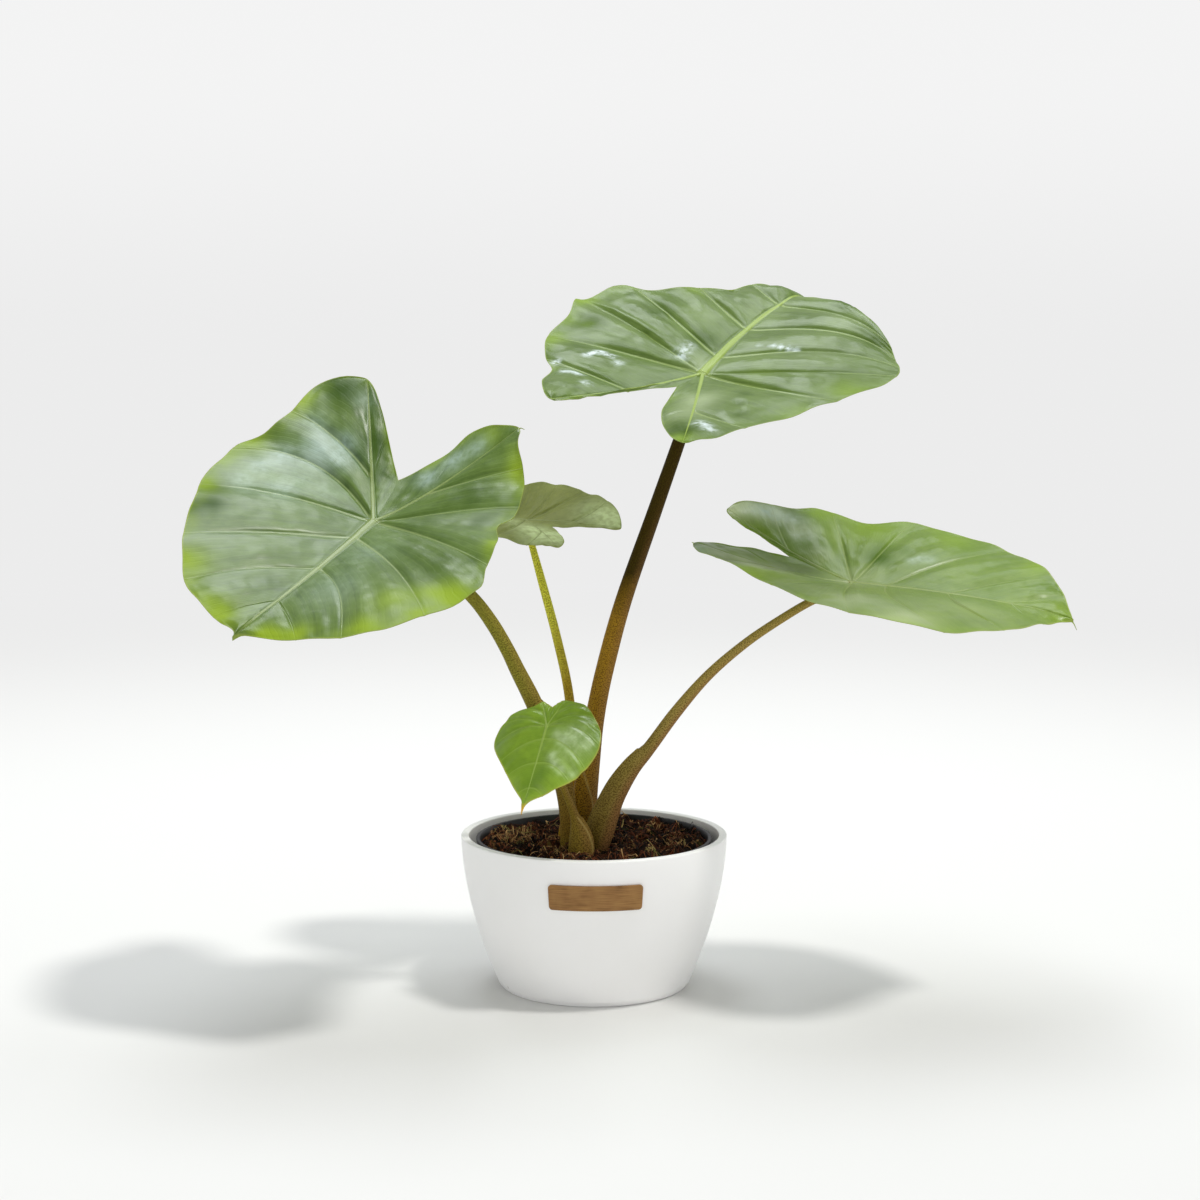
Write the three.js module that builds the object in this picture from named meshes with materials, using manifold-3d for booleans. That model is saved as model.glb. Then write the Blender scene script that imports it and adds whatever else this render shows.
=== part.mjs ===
// A potted elephant-ear plant with five leaves in a white bowl planter.
// Millimetres, +Z up. The origin is the centre of the planter's foot, and the
// front of the planter, with its label plate, faces -Y.

import * as THREE from 'three';
import { mergeVertices } from 'three/addons/utils/BufferGeometryUtils.js';
import Module from 'manifold-3d';

const wasm = await Module();
wasm.setup();

// Clearance between pieces that touch on the real plant.
const gap = 0.3;

// Planter: a moulded bowl with a flat foot and a flat rim.
const planter = {
  height: 101,
  footRadius: 62.6,
  rimRadius: 88,
  bellyPower: 1.75,
  rimWall: 5.2,
  wall: 4.4,
  floor: 4.3,
  edge: 0.8,
  footEdge: 2.2,
  segments: 40,
};

// Label plate: a thin metal strip bent to the planter's front.
const plate = { width: 59.6, height: 16.4, centreX: 1.2, centreZ: 77, thickness: 1.2, cornerRadius: 2.2 };

// Nursery pot: the thin tapered liner that holds the soil.
const liner = {
  top: 98.7,
  footRadius: 56.5,
  topRadius: 77,
  wall: 1.2,
  lipWidth: 1.3,
  lipHeight: 5,
  holeRadius: 5,
  holeCircle: 34,
  holes: 5,
  segments: 32,
};
liner.foot = planter.floor + gap;

// Soil: its level at the liner, and how far its crumbs rise and fall.
const soil = { level: 92.5, lump: 1.7, columns: 40, rings: 7, strands: 16 };
soil.foot = liner.foot + liner.wall + gap;

// Corm: the short rootstock that the stems stand on, with its thick roots.
const corm = {
  x: -10, y: -7, top: 79.7, radius: 23, height: 30, segments: 14, roots: 5, rootRadius: 1.9, rootReach: 36,
};

// Blades: thickness, and how many steps a blade takes per side vein and from rib to edge.
const bladeThickness = 1.0;
const tipStation = 4;
const lobeStation = -3;
const sinusStation = -5;
// Where the side veins leave the midrib, as shares of its length, at stations 0 to 4.
const veinRoots = [0, 0.15, 0.43, 0.71, 1];

// Each leaf has its own frame at the point where the stem meets the blade: `forward` runs
// along the midrib to the tip and `face` is the blade's upper side. An edge row is
// [place, along, across]: place 4 is the tip, -3 is the tip of the basal lobe and -5 is the
// bottom of the notch between the lobes. A blade's lines are numbered by station in the
// same way, from 4 at the tip to -5, and the side veins are its lines 3 to -2. The lists of
// ends give the places on the edge where those six reach it. The midrib bows by midBow.
// A stem lists the points of its middle line upwards from the corm, its radius at given
// heights, the height where its sheath ends and the side that the sheath opens to.
const leaves = {
  left: {
    seat: [-140, -45, 312],
    forward: [-0.434, -0.807, -0.401],
    face: [-0.026, -0.433, 0.901],
    length: 148, halfWidth: 110, lobeLength: 110, crease: 12,
    foldLeft: 0.198, foldRight: 0.29, roll: 0.021, droop: 0.02, lobeLift: 0.359,
    tipCurl: 0.004, quilt: 2.0, wave: 2.2, wavePhase: 0.3, midBow: 0,
    leftEnds: [3.45, 2.87, 1.93, 0.42, -1.19, -2],
    rightEnds: [3.45, 2.48, 1.46, 0.1, -0.86, -2],
    leftEdge: [
      [4, 147, -10], [3.6, 139, 20], [3, 135, 51], [2.4, 127, 80], [2, 106, 94], [1.5, 84, 109],
      [1, 68, 115], [0.5, 48, 108], [0, 30, 104], [-0.5, 10, 96], [-0.8, -6, 87], [-1, -16, 93],
      [-1.5, -40, 88], [-2, -57, 79], [-2.5, -72, 68], [-3, -87, 61], [-3.3, -89, 46],
      [-3.8, -85, 30], [-4.4, -66, 18], [-5, -40, -4],
    ],
    rightEdge: [
      [4, 147, -10], [3.6, 140, -23], [3, 132, -44], [2.5, 121, -60], [2, 104, -72], [1.5, 88, -82],
      [1, 69, -90], [0.5, 50, -97], [0, 32, -106], [-0.5, 6, -108], [-1, -14, -107],
      [-1.4, -31, -96], [-2, -52, -90], [-2.5, -78, -87], [-2.8, -91, -74], [-3, -96, -57],
      [-3.6, -82, -39], [-4.3, -58, -19], [-5, -40, -4],
    ],
    stem: {
      path: [
        [-18, -4, 80], [-17, -5, 92], [-16.8, -7, 109], [-19.3, -9, 130], [-26.8, -14, 160],
        [-39.7, -22, 193], [-49.1, -27, 213], [-56.3, -30, 228.5], [-66.1, -33, 246],
        [-78.3, -36, 262.5], [-101, -36, 282], [-126, -35, 296],
      ],
      girth: [
        [80, 6], [109, 5.6], [160, 5.7], [193, 5.5], [213, 5], [228, 4.6], [246, 4.4], [262, 4.1], [310, 3.4],
      ],
      sheathTop: 192,
      opensTo: [1, 0.3, 0],
    },
  },
  rear: {
    seat: [-47, 60, 305],
    forward: [-0.834, 0.548, 0.061],
    face: [-0.029, -0.155, 0.987],
    length: 82, halfWidth: 68, lobeLength: 66, crease: 8,
    foldLeft: 0.083, foldRight: 0.326, roll: 0.061, droop: 0.05, lobeLift: -0.209,
    tipCurl: 0.006, quilt: 1.2, wave: 1.3, wavePhase: 1.4, midBow: 0,
    leftEnds: [3, 2, 1, 0, -1, -2],
    rightEnds: [3, 2, 1, 0, -1, -2],
    leftEdge: [
      [4, 82, 0], [3, 68, 25], [2, 52, 41], [1, 34, 49], [0, 12, 53], [-1, -11, 52],
      [-2, -34, 44], [-2.6, -46, 38], [-3, -54, 28], [-3.6, -46, 18], [-4.3, -34, 8], [-5, -22, 0],
    ],
    rightEdge: [
      [4, 82, 0], [3, 70, -23], [2, 52, -39], [1, 32, -49], [0, 11, -54], [-1, -13, -53],
      [-2, -36, -47], [-2.6, -48, -42], [-3, -60, -27], [-3.6, -48, -20], [-4.3, -34, -9], [-5, -22, 0],
    ],
    stem: {
      path: [
        [-21.6, 14, 80], [-20.6, 17.4, 93], [-16.5, 23, 120], [-14.2, 28, 152], [-17.3, 33, 190.5],
        [-25.1, 40, 226], [-36.4, 51, 267], [-42.4, 57, 288],
      ],
      girth: [[80, 4], [152, 3.5], [190, 3.15], [245, 2.9], [267, 2.7], [288, 2.3], [305, 2.2]],
      sheathTop: 160,
      opensTo: [0.4, -1, 0],
    },
  },
  top: {
    seat: [71, 5, 405],
    forward: [0.576, 0.7, 0.423],
    face: [-0.015, -0.508, 0.861],
    length: 150, halfWidth: 120, lobeLength: 80, crease: 12,
    foldLeft: 0.115, foldRight: 0.196, roll: 0.068, droop: 0.02, lobeLift: 0.128,
    tipCurl: 0.02, quilt: 2.2, wave: 2.0, wavePhase: 2.2, midBow: 6,
    leftEnds: [3.09, 2.23, 1.32, 0.13, -1.01, -1.7],
    rightEnds: [1.71, 1.44, 1.04, 0.53, -0.56, -1.95],
    leftEdge: [
      [4, 150, 4], [3.5, 136, 22], [3, 115, 39], [2.6, 97, 45], [2, 80, 69], [1.5, 64, 88],
      [1.2, 61, 104], [1, 56, 113], [0.6, 39, 117], [0, 27, 121], [-0.5, 4, 111], [-1, -28, 104],
      [-1.6, -52, 89], [-2, -65, 74], [-2.5, -88, 65], [-3, -107, 44], [-3.5, -84, 31],
      [-4.3, -54, 21], [-5, -26, 3],
    ],
    rightEdge: [
      [4, 150, 4], [3.5, 134, -22], [3, 120, -45], [2.5, 104, -68], [2, 88, -86], [1.5, 71, -102],
      [1, 56, -114], [0.5, 42, -119], [0, 26, -114], [-0.5, 2, -102], [-1, -14, -89],
      [-1.6, -48, -80], [-2, -68, -73], [-2.5, -93, -69], [-3, -110, -57], [-3.5, -97, -37],
      [-4.2, -66, -12], [-5, -26, 3],
    ],
    stem: {
      path: [
        [-9, 10, 80], [-8.1, 11, 93], [-7.4, 10, 121], [-4.7, 8, 145], [2.6, 6, 188.5],
        [7.1, 5, 209.5], [18.4, 5, 252], [39.4, 6, 313], [55.1, 8, 358], [65, 9, 387],
      ],
      girth: [
        [80, 8.6], [93, 9], [121, 9.6], [148, 8.4], [170, 6.8], [188, 6.2],
        [230, 5.8], [272, 5.3], [313, 4.8], [358, 4.3], [405, 3.8],
      ],
      sheathTop: 152,
      opensTo: [-1, -0.5, 0],
    },
  },
  right: {
    seat: [168, -15, 270],
    forward: [0.914, -0.386, -0.129],
    face: [0.011, -0.293, 0.956],
    length: 143, halfWidth: 70, lobeLength: 100, crease: 10,
    foldLeft: 0.244, foldRight: 0.297, roll: 0.048, droop: 0.02, lobeLift: 0.2,
    tipCurl: 0.004, quilt: 1.6, wave: 1.6, wavePhase: 0.9, midBow: 8,
    leftEnds: [3.3, 2.67, 1.48, 0, -1, -2.19],
    rightEnds: [3.2, 2.24, 1.33, 0.07, -1, -2],
    leftEdge: [
      [4, 143, 11], [3.6, 138, 21], [3, 127, 40], [2.5, 113, 55], [2, 98, 67], [1.5, 82, 77],
      [1, 62, 84], [0.5, 38, 87], [0, 14, 84], [-0.5, -14, 72], [-1, -40, 75], [-1.6, -58, 68],
      [-2, -70, 59], [-2.5, -88, 46], [-3, -99, 29], [-3.4, -92, 22], [-4.2, -68, 16.5], [-5, -46, 8],
    ],
    rightEdge: [
      [4, 143, 11], [3.6, 134, 1], [3, 127, -20], [2.5, 120, -44], [2, 109, -68], [1.5, 94, -87],
      [1, 70, -95], [0.5, 44, -94], [0, 22, -84], [-0.5, -2, -76], [-1, -34, -62],
      [-1.6, -60, -60], [-2.3, -80, -60], [-2.8, -90, -55], [-3, -93, -45], [-3.5, -88, -20],
      [-4.2, -70, 0], [-5, -46, 8],
    ],
    stem: {
      path: [
        [-1, -10, 80], [-0.6, -12.5, 90], [4, -15, 105], [12, -17.5, 126.5], [17.4, -18.5, 137],
        [25.5, -19, 149], [35, -20, 160], [53.8, -20, 185.5], [74.8, -19, 209.6], [99.8, -18, 231],
        [123.6, -17, 247], [139.2, -15, 256], [155, -13, 263],
      ],
      girth: [
        [80, 8], [93, 8.5], [112, 8], [126, 6.8], [137, 6.2], [149, 5.1], [162, 4.3],
        [185, 3.95], [209, 3.3], [231, 2.9], [256, 2.65], [270, 2.5],
      ],
      sheathTop: 158,
      opensTo: [-1, -0.25, 0.3],
    },
  },
  young: {
    seat: [-30, -58, 182],
    forward: [-0.222, -0.615, -0.757],
    face: [-0.425, -0.637, 0.643],
    length: 60, halfWidth: 40, lobeLength: 20, crease: 5,
    foldLeft: 0.097, foldRight: 0.098, roll: 0.12, droop: 0.043, lobeLift: -0.054,
    tipCurl: 0.002, quilt: 0.9, wave: 0.8, wavePhase: 0, midBow: 0,
    leftEnds: [3, 2, 1, 0, -1, -2],
    rightEnds: [3, 2, 1, 0, -1, -2],
    leftEdge: [
      [4, 63, -3], [3.7, 57, -1.5], [3.3, 54, 2], [3, 51, 10], [2.5, 47, 19], [2, 42, 27],
      [1, 33, 36], [0.5, 25, 40], [0, 16, 42], [-0.5, 6, 40], [-1, -4, 34], [-2, -14, 25],
      [-2.5, -17, 16], [-3, -19.5, 8], [-3.8, -18.5, 4], [-5, -15, 0],
    ],
    rightEdge: [
      [4, 63, -3], [3.7, 57, -4], [3.3, 53, -5], [3, 49, -8.5], [2.5, 44, -13], [2, 36, -19],
      [1, 26, -26.5], [0.5, 19, -32], [0, 12, -36.5], [-0.5, 4, -36], [-1, -3, -33],
      [-2, -12, -24], [-2.5, -16, -15], [-3, -19.5, -8.5], [-3.8, -18, -5], [-5, -15, 0],
    ],
    stem: {
      path: [
        [-9, -28, 80], [-8.8, -31, 92], [-9.4, -32.5, 106], [-12.6, -34.5, 120], [-18, -37, 134],
        [-21.8, -41, 144], [-25, -47, 157], [-27.8, -53, 169],
      ],
      girth: [[80, 6.6], [92, 7.8], [103, 7.2], [112, 5], [119, 3.2], [134, 2.2], [182, 1.7]],
      sheathTop: 117,
      opensTo: [0.8, 0.9, 0],
    },
  },
};

// The middle steps of a mesh, from coarse small leaves to the broad ones.
const fineness = {
  left: { perVein: 4, rings: 4, stemSides: 10 },
  rear: { perVein: 3, rings: 4, stemSides: 8 },
  top: { perVein: 6, rings: 4, stemSides: 12 },
  right: { perVein: 4, rings: 4, stemSides: 12 },
  young: { perVein: 3, rings: 3, stemSides: 10 },
};

// A repeatable run of random numbers from 0 to 1.
function randomRun(seed) {
  let state = seed;
  return () => {
    state = (state * 16807) % 2147483647;
    return state / 2147483647;
  };
}

// A smooth curve through rows of [key, value...], read at one key. Each span is a cubic
// whose end slopes are those of the line between the neighbouring rows.
function through(rows, key, column = 1) {
  const rising = rows[rows.length - 1][0] > rows[0][0];
  const list = rising ? rows : [...rows].reverse();
  const last = list.length - 1;
  const t = Math.min(Math.max(key, list[0][0]), list[last][0]);
  let i = 0;
  while (i < last - 1 && t > list[i + 1][0]) i += 1;
  const slope = (j) => {
    const a = list[Math.max(j - 1, 0)];
    const b = list[Math.min(j + 1, last)];
    return (b[column] - a[column]) / (b[0] - a[0]);
  };
  const span = list[i + 1][0] - list[i][0];
  const w = (t - list[i][0]) / span;
  const start = (1 + 2 * w) * (1 - w) ** 2 * list[i][column];
  const end = w * w * (3 - 2 * w) * list[i + 1][column];
  const turnIn = w * (1 - w) ** 2 * span * slope(i);
  const turnOut = w * w * (w - 1) * span * slope(i + 1);
  return start + end + turnIn + turnOut;
}

// A closed geometry from vertices and triangles: shared corners are merged, triangles with
// no area are dropped, and the faces are turned outwards.
function closed(positions, triangles) {
  let geometry = new THREE.BufferGeometry();
  geometry.setAttribute('position', new THREE.Float32BufferAttribute(positions, 3));
  geometry.setIndex(triangles);
  geometry = mergeVertices(geometry, 1e-4);
  const index = Array.from(geometry.index.array);
  const corner = (i) => new THREE.Vector3().fromBufferAttribute(geometry.attributes.position, i);
  const kept = [];
  let volume = 0;
  for (let i = 0; i < index.length; i += 3) {
    const [a, b, c] = index.slice(i, i + 3);
    if (a === b || b === c || c === a) continue;
    kept.push(a, b, c);
    volume += corner(a).dot(corner(b).cross(corner(c)));
  }
  if (volume < 0) {
    for (let i = 0; i < kept.length; i += 3) {
      [kept[i], kept[i + 1]] = [kept[i + 1], kept[i]];
    }
  }
  geometry.setIndex(kept);
  return geometry;
}

// A three.js geometry with its seams merged, as a closed geometry.
function sealed(geometry) {
  const index = geometry.index
    ? Array.from(geometry.index.array)
    : geometry.attributes.position.array.map((_, i) => i).slice(0, geometry.attributes.position.count);
  return closed(Array.from(geometry.attributes.position.array), Array.from(index));
}

function toSolid(geometry) {
  return new wasm.Manifold(new wasm.Mesh({
    numProp: 3,
    vertProperties: new Float32Array(geometry.attributes.position.array),
    triVerts: new Uint32Array(geometry.index.array),
  }));
}

function fromSolid(solid) {
  const mesh = solid.getMesh();
  const geometry = new THREE.BufferGeometry();
  geometry.setAttribute('position', new THREE.BufferAttribute(new Float32Array(mesh.vertProperties), 3));
  geometry.setIndex(new THREE.BufferAttribute(new Uint32Array(mesh.triVerts), 1));
  return geometry;
}

// A profile of [radius, height] points turned about the Z axis.
function turned(profile, segments) {
  const points = profile.map(([radius, height]) => new THREE.Vector2(radius, height));
  return sealed(new THREE.LatheGeometry(points, segments).rotateX(Math.PI / 2));
}

// Rings of points joined into a tube with a cap at each end.
function skinned(rings) {
  const sides = rings[0].length;
  const positions = [];
  const triangles = [];
  rings.forEach((ring) => ring.forEach((point) => positions.push(...point)));
  for (let i = 0; i < rings.length - 1; i += 1) {
    for (let j = 0; j < sides; j += 1) {
      const a = i * sides + j;
      const b = i * sides + ((j + 1) % sides);
      triangles.push(a, b, b + sides, a, b + sides, a + sides);
    }
  }
  const last = (rings.length - 1) * sides;
  for (let j = 1; j < sides - 1; j += 1) {
    triangles.push(0, j + 1, j);
    triangles.push(last, last + j, last + j + 1);
  }
  return closed(positions, triangles);
}

// Planter

// The outer wall swells from the foot to the rim: fast at first, nearly upright at the rim.
function wallRadius(z) {
  const rise = 1 - (1 - Math.min(z, planter.height) / planter.height) ** planter.bellyPower;
  return planter.footRadius + (planter.rimRadius - planter.footRadius) * rise;
}

function planterGeometry() {
  const { height, footEdge, edge, rimWall, wall, floor, rimRadius } = planter;
  const levels = [3, 14, 28, 46, 68];
  const outside = levels.map((z) => [wallRadius(z), z]);
  const thickness = (z) => wall + (rimWall - wall) * (z / height) ** 4;
  const inside = levels.slice(1).reverse().map((z) => [wallRadius(z) - thickness(z), z]);
  const foot = wallRadius(0);
  return turned([
    [0, 0], [foot - footEdge, 0], [foot - footEdge * 0.3, footEdge * 0.35],
    ...outside,
    [rimRadius, height - edge], [rimRadius - edge, height],
    [rimRadius - rimWall + edge, height], [rimRadius - rimWall, height - edge],
    ...inside,
    [wallRadius(4) - wall - 1, floor + 1], [wallRadius(4) - wall - 2.4, floor], [0, floor],
  ], planter.segments);
}

// Label plate: a grid bent round the wall, with its ends drawn in to round the corners.
function plateGeometry() {
  const { width, height, centreX, centreZ, thickness, cornerRadius } = plate;
  const half = width / 2;
  const straight = half - cornerRadius;
  const corner = [1, 0.87, 0.5];
  const ends = corner.map((share) => straight + cornerRadius * share);
  const middle = Array.from({ length: 9 }, (_, i) => -straight + (2 * straight * i) / 8);
  const across = [...ends.map((x) => -x), ...middle, ...ends.reverse()];
  const rows = 2;
  const positions = [];
  for (const layer of [0, 1]) {
    for (const x of across) {
      const into = Math.max(Math.abs(x) - straight, 0);
      const reach = height / 2 - cornerRadius + Math.sqrt(cornerRadius ** 2 - into ** 2);
      for (let j = 0; j <= rows; j += 1) {
        const z = centreZ - reach + (2 * reach * j) / rows;
        const radius = wallRadius(z) + gap + layer * thickness;
        const angle = (centreX + x) / wallRadius(centreZ);
        positions.push(radius * Math.sin(angle), -radius * Math.cos(angle), z);
      }
    }
  }
  const step = rows + 1;
  const layerSize = across.length * step;
  const triangles = [];
  const quad = (a, b, c, d) => triangles.push(a, b, c, a, c, d);
  for (let i = 0; i < across.length - 1; i += 1) {
    for (let j = 0; j < rows; j += 1) {
      const a = i * step + j;
      quad(a, a + 1, a + 1 + step, a + step);
      quad(layerSize + a, layerSize + a + step, layerSize + a + 1 + step, layerSize + a + 1);
    }
    const low = i * step;
    const high = low + rows;
    quad(low, low + step, layerSize + low + step, layerSize + low);
    quad(high, layerSize + high, layerSize + high + step, high + step);
  }
  const end = (across.length - 1) * step;
  for (let j = 0; j < rows; j += 1) {
    quad(j, layerSize + j, layerSize + j + 1, j + 1);
    quad(end + j, end + j + 1, layerSize + end + j + 1, layerSize + end + j);
  }
  return closed(positions, triangles);
}

// Nursery pot

function linerRadius(z) {
  const share = (z - liner.foot) / (liner.top - liner.foot);
  return liner.footRadius + (liner.topRadius - liner.footRadius) * share;
}

function linerGeometry() {
  const { foot, top, wall, lipWidth, lipHeight, holeRadius, holeCircle, holes } = liner;
  const lipFoot = top - lipHeight;
  const middle = (foot + top) / 2;
  const cup = toSolid(turned([
    [0, foot], [linerRadius(foot) - 1, foot], [linerRadius(foot + 1), foot + 1],
    [linerRadius(middle), middle], [linerRadius(lipFoot), lipFoot],
    [linerRadius(lipFoot) + lipWidth, lipFoot + 0.4], [linerRadius(top) + lipWidth, top - 0.5],
    [linerRadius(top) + lipWidth - 0.6, top], [linerRadius(top) - wall + 0.4, top],
    [linerRadius(top) - wall, top - 0.5], [linerRadius(middle) - wall, middle],
    [linerRadius(foot + wall) - wall, foot + wall], [0, foot + wall],
  ], liner.segments));
  let pot = cup;
  for (let i = 0; i < holes; i += 1) {
    const angle = (2 * Math.PI * i) / holes + 0.3;
    const drill = new THREE.CylinderGeometry(holeRadius, holeRadius, wall * 4, 12).rotateX(Math.PI / 2);
    drill.translate(holeCircle * Math.cos(angle), holeCircle * Math.sin(angle), foot + wall / 2);
    pot = pot.subtract(toSolid(sealed(drill)));
  }
  return fromSolid(pot);
}

// Blades

function leafFrame(leaf) {
  const forward = new THREE.Vector3(...leaf.forward).normalize();
  const face = new THREE.Vector3(...leaf.face);
  face.addScaledVector(forward, -face.dot(forward)).normalize();
  const across = new THREE.Vector3().crossVectors(face, forward);
  return { forward, across, face, seat: new THREE.Vector3(...leaf.seat) };
}

// How far across the midrib bows at a share of its length.
function midBowAt(leaf, share) {
  return leaf.midBow * Math.sin(Math.PI * Math.min(Math.max(share, 0), 1));
}

// Height of the blade over its own plane, from its broad form: a soft V fold along the
// midrib, edges that roll back down, a drooping front, a curled tip and raised lobes.
function bladeForm(leaf, u, v) {
  const ahead = Math.max(u, 0);
  const behind = Math.max(-u, 0);
  const aside = v - midBowAt(leaf, u / leaf.length);
  const fold = aside > 0 ? leaf.foldLeft : leaf.foldRight;
  const folded = fold * (Math.hypot(aside, leaf.crease) - leaf.crease);
  const rolled = leaf.roll * leaf.halfWidth * (Math.abs(v) / leaf.halfWidth) ** 3;
  const drooped = leaf.droop * leaf.length * (ahead / leaf.length) ** 2;
  const curled = leaf.tipCurl * Math.max(u - 0.78 * leaf.length, 0) ** 2;
  const raised = leaf.lobeLift * leaf.lobeLength * (behind / leaf.lobeLength) ** 1.6;
  return folded - rolled - drooped - curled + raised;
}

// Height added between the veins: the blade is puffed up between one side vein and the
// next, which lie in grooves, and its edge waves up and down.
function bladeRelief(leaf, side, station, place, s) {
  const between = Math.abs(Math.sin(Math.PI * station)) ** 0.8;
  const narrow = station < lobeStation ? 0.35 : 1;
  const puffed = leaf.quilt * narrow * between * Math.sin(Math.PI * Math.min(s * 1.08, 1)) ** 0.8;
  const fromEnds = Math.min(tipStation - place, place - sinusStation);
  const eased = Math.min(fromEnds / 1.5, 1) ** 2;
  const waved = Math.sin(2.3 * place + leaf.wavePhase + side) + 0.5 * Math.sin(5.1 * place + side * 2);
  return puffed + leaf.wave * narrow * eased * s ** 3 * waved;
}

// The place on the edge where the line of a station ends: even steps between the ends of
// the side veins.
function edgePlace(ends, station) {
  const places = [tipStation, ...ends, lobeStation];
  if (station <= lobeStation) return station;
  const i = Math.min(Math.floor(tipStation - station), places.length - 2);
  const share = tipStation - station - i;
  return places[i] + share * (places[i + 1] - places[i]);
}

// Where the line of a station starts: on the midrib ahead of the stem, at the stem, or on
// the main vein of the basal lobe, out to the lobe's tip and back again.
function stationRoot(leaf, edge, station) {
  if (station >= 0) {
    const share = through(veinRoots.map((value, i) => [i, value]), station);
    const [, tipU, tipV] = edge[0];
    return [tipU * share, tipV * share ** 2 + midBowAt(leaf, share)];
  }
  if (station > -1) return [0, 0];
  const lobeU = through(edge, lobeStation, 1);
  const lobeV = through(edge, lobeStation, 2);
  const share = 1 - Math.abs(station - lobeStation) / 2;
  return [lobeU * share, lobeV * share];
}

function bladePoint(leaf, side, station, s) {
  const edge = side > 0 ? leaf.leftEdge : leaf.rightEdge;
  const place = edgePlace(side > 0 ? leaf.leftEnds : leaf.rightEnds, station);
  const [rootU, rootV] = stationRoot(leaf, edge, station);
  const u = rootU + s * (through(edge, place, 1) - rootU);
  const v = rootV + s * (through(edge, place, 2) - rootV);
  return [u, v, bladeForm(leaf, u, v) + bladeRelief(leaf, side, station, place, s)];
}

// A blade is two halves, each a grid of vein stations by steps from rib to edge. The lower
// face repeats the upper one, split into the same triangles, one thickness below.
function bladeGeometry(leaf, { perVein, rings }) {
  const { forward, across, face, seat } = leafFrame(leaf);
  const columns = (tipStation - sinusStation) * perVein;
  const positions = [];
  const triangles = [];
  const place = ([u, v, h], sink) => {
    const point = seat.clone().addScaledVector(forward, u).addScaledVector(across, v);
    return point.addScaledVector(face, h - sink);
  };
  for (const side of [1, -1]) {
    const start = positions.length / 3;
    for (let i = 0; i <= columns; i += 1) {
      const station = tipStation - i / perVein;
      for (let j = 0; j <= rings; j += 1) {
        const point = bladePoint(leaf, side, station, j / rings);
        positions.push(...place(point, 0));
        positions.push(...place(point, bladeThickness));
      }
    }
    const push = (a, b, c) => (side > 0 ? triangles.push(a, b, c) : triangles.push(a, c, b));
    const id = (i, j, low) => start + 2 * (i * (rings + 1) + j) + low;
    for (let i = 0; i < columns; i += 1) {
      for (let j = 0; j < rings; j += 1) {
        push(id(i, j, 0), id(i, j + 1, 0), id(i + 1, j + 1, 0));
        push(id(i, j, 0), id(i + 1, j + 1, 0), id(i + 1, j, 0));
        push(id(i, j, 1), id(i + 1, j + 1, 1), id(i, j + 1, 1));
        push(id(i, j, 1), id(i + 1, j, 1), id(i + 1, j + 1, 1));
      }
      push(id(i + 1, rings, 0), id(i, rings, 0), id(i, rings, 1));
      push(id(i + 1, rings, 0), id(i, rings, 1), id(i + 1, rings, 1));
    }
  }
  return closed(positions, triangles);
}

// Stems

// A stem is a tapering tube along its middle line. Below the end of its sheath, two ridges
// stand beside a groove on the side that faces the other stems. Its foot is level, and its
// head is cut along the blade that it carries.
function stemGeometry(leaf, sides, grown = 0) {
  const { stem } = leaf;
  const { face, seat } = leafFrame(leaf);
  const head = seat.clone().addScaledVector(face, -(bladeThickness + gap));
  const points = stem.path.map((point) => new THREE.Vector3(...point));
  const line = new THREE.CatmullRomCurve3([...points, head], false, 'centripetal');
  const length = line.getLength();
  const step = sides * 1.1;
  const count = Math.round(length / step);
  const stops = Array.from({ length: count + 1 }, (_, i) => i / count);
  const opening = new THREE.Vector3(...stem.opensTo);
  const rings = stops.map((t, i) => {
    const centre = line.getPointAt(t);
    const along = line.getTangentAt(t);
    const inner = opening.clone().addScaledVector(along, -opening.dot(along)).normalize();
    const lateral = new THREE.Vector3().crossVectors(along, inner);
    const radius = through(stem.girth, centre.z) + grown;
    const below = (stem.sheathTop - centre.z) / (stem.sheathTop - stem.path[0][2]);
    const sheath = below < 0 ? 0 : 0.26 * (1 - 0.75 * below);
    return Array.from({ length: sides }, (_, j) => {
      const turn = (2 * Math.PI * j) / sides;
      const fromGroove = Math.min(turn, 2 * Math.PI - turn);
      const ridge = Math.exp(-(((fromGroove - 0.62) / 0.4) ** 2)) - 0.9 * Math.exp(-((fromGroove / 0.36) ** 2));
      const reach = radius * (1 + sheath * ridge);
      const point = centre.clone().addScaledVector(inner, reach * Math.cos(turn));
      point.addScaledVector(lateral, reach * Math.sin(turn));
      if (i === 0) point.z = stem.path[0][2] - grown;
      if (i === count) point.addScaledVector(along, head.clone().sub(point).dot(face) / along.dot(face));
      return [point.x, point.y, point.z];
    });
  });
  return skinned(rings);
}

// Corm and roots

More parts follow.
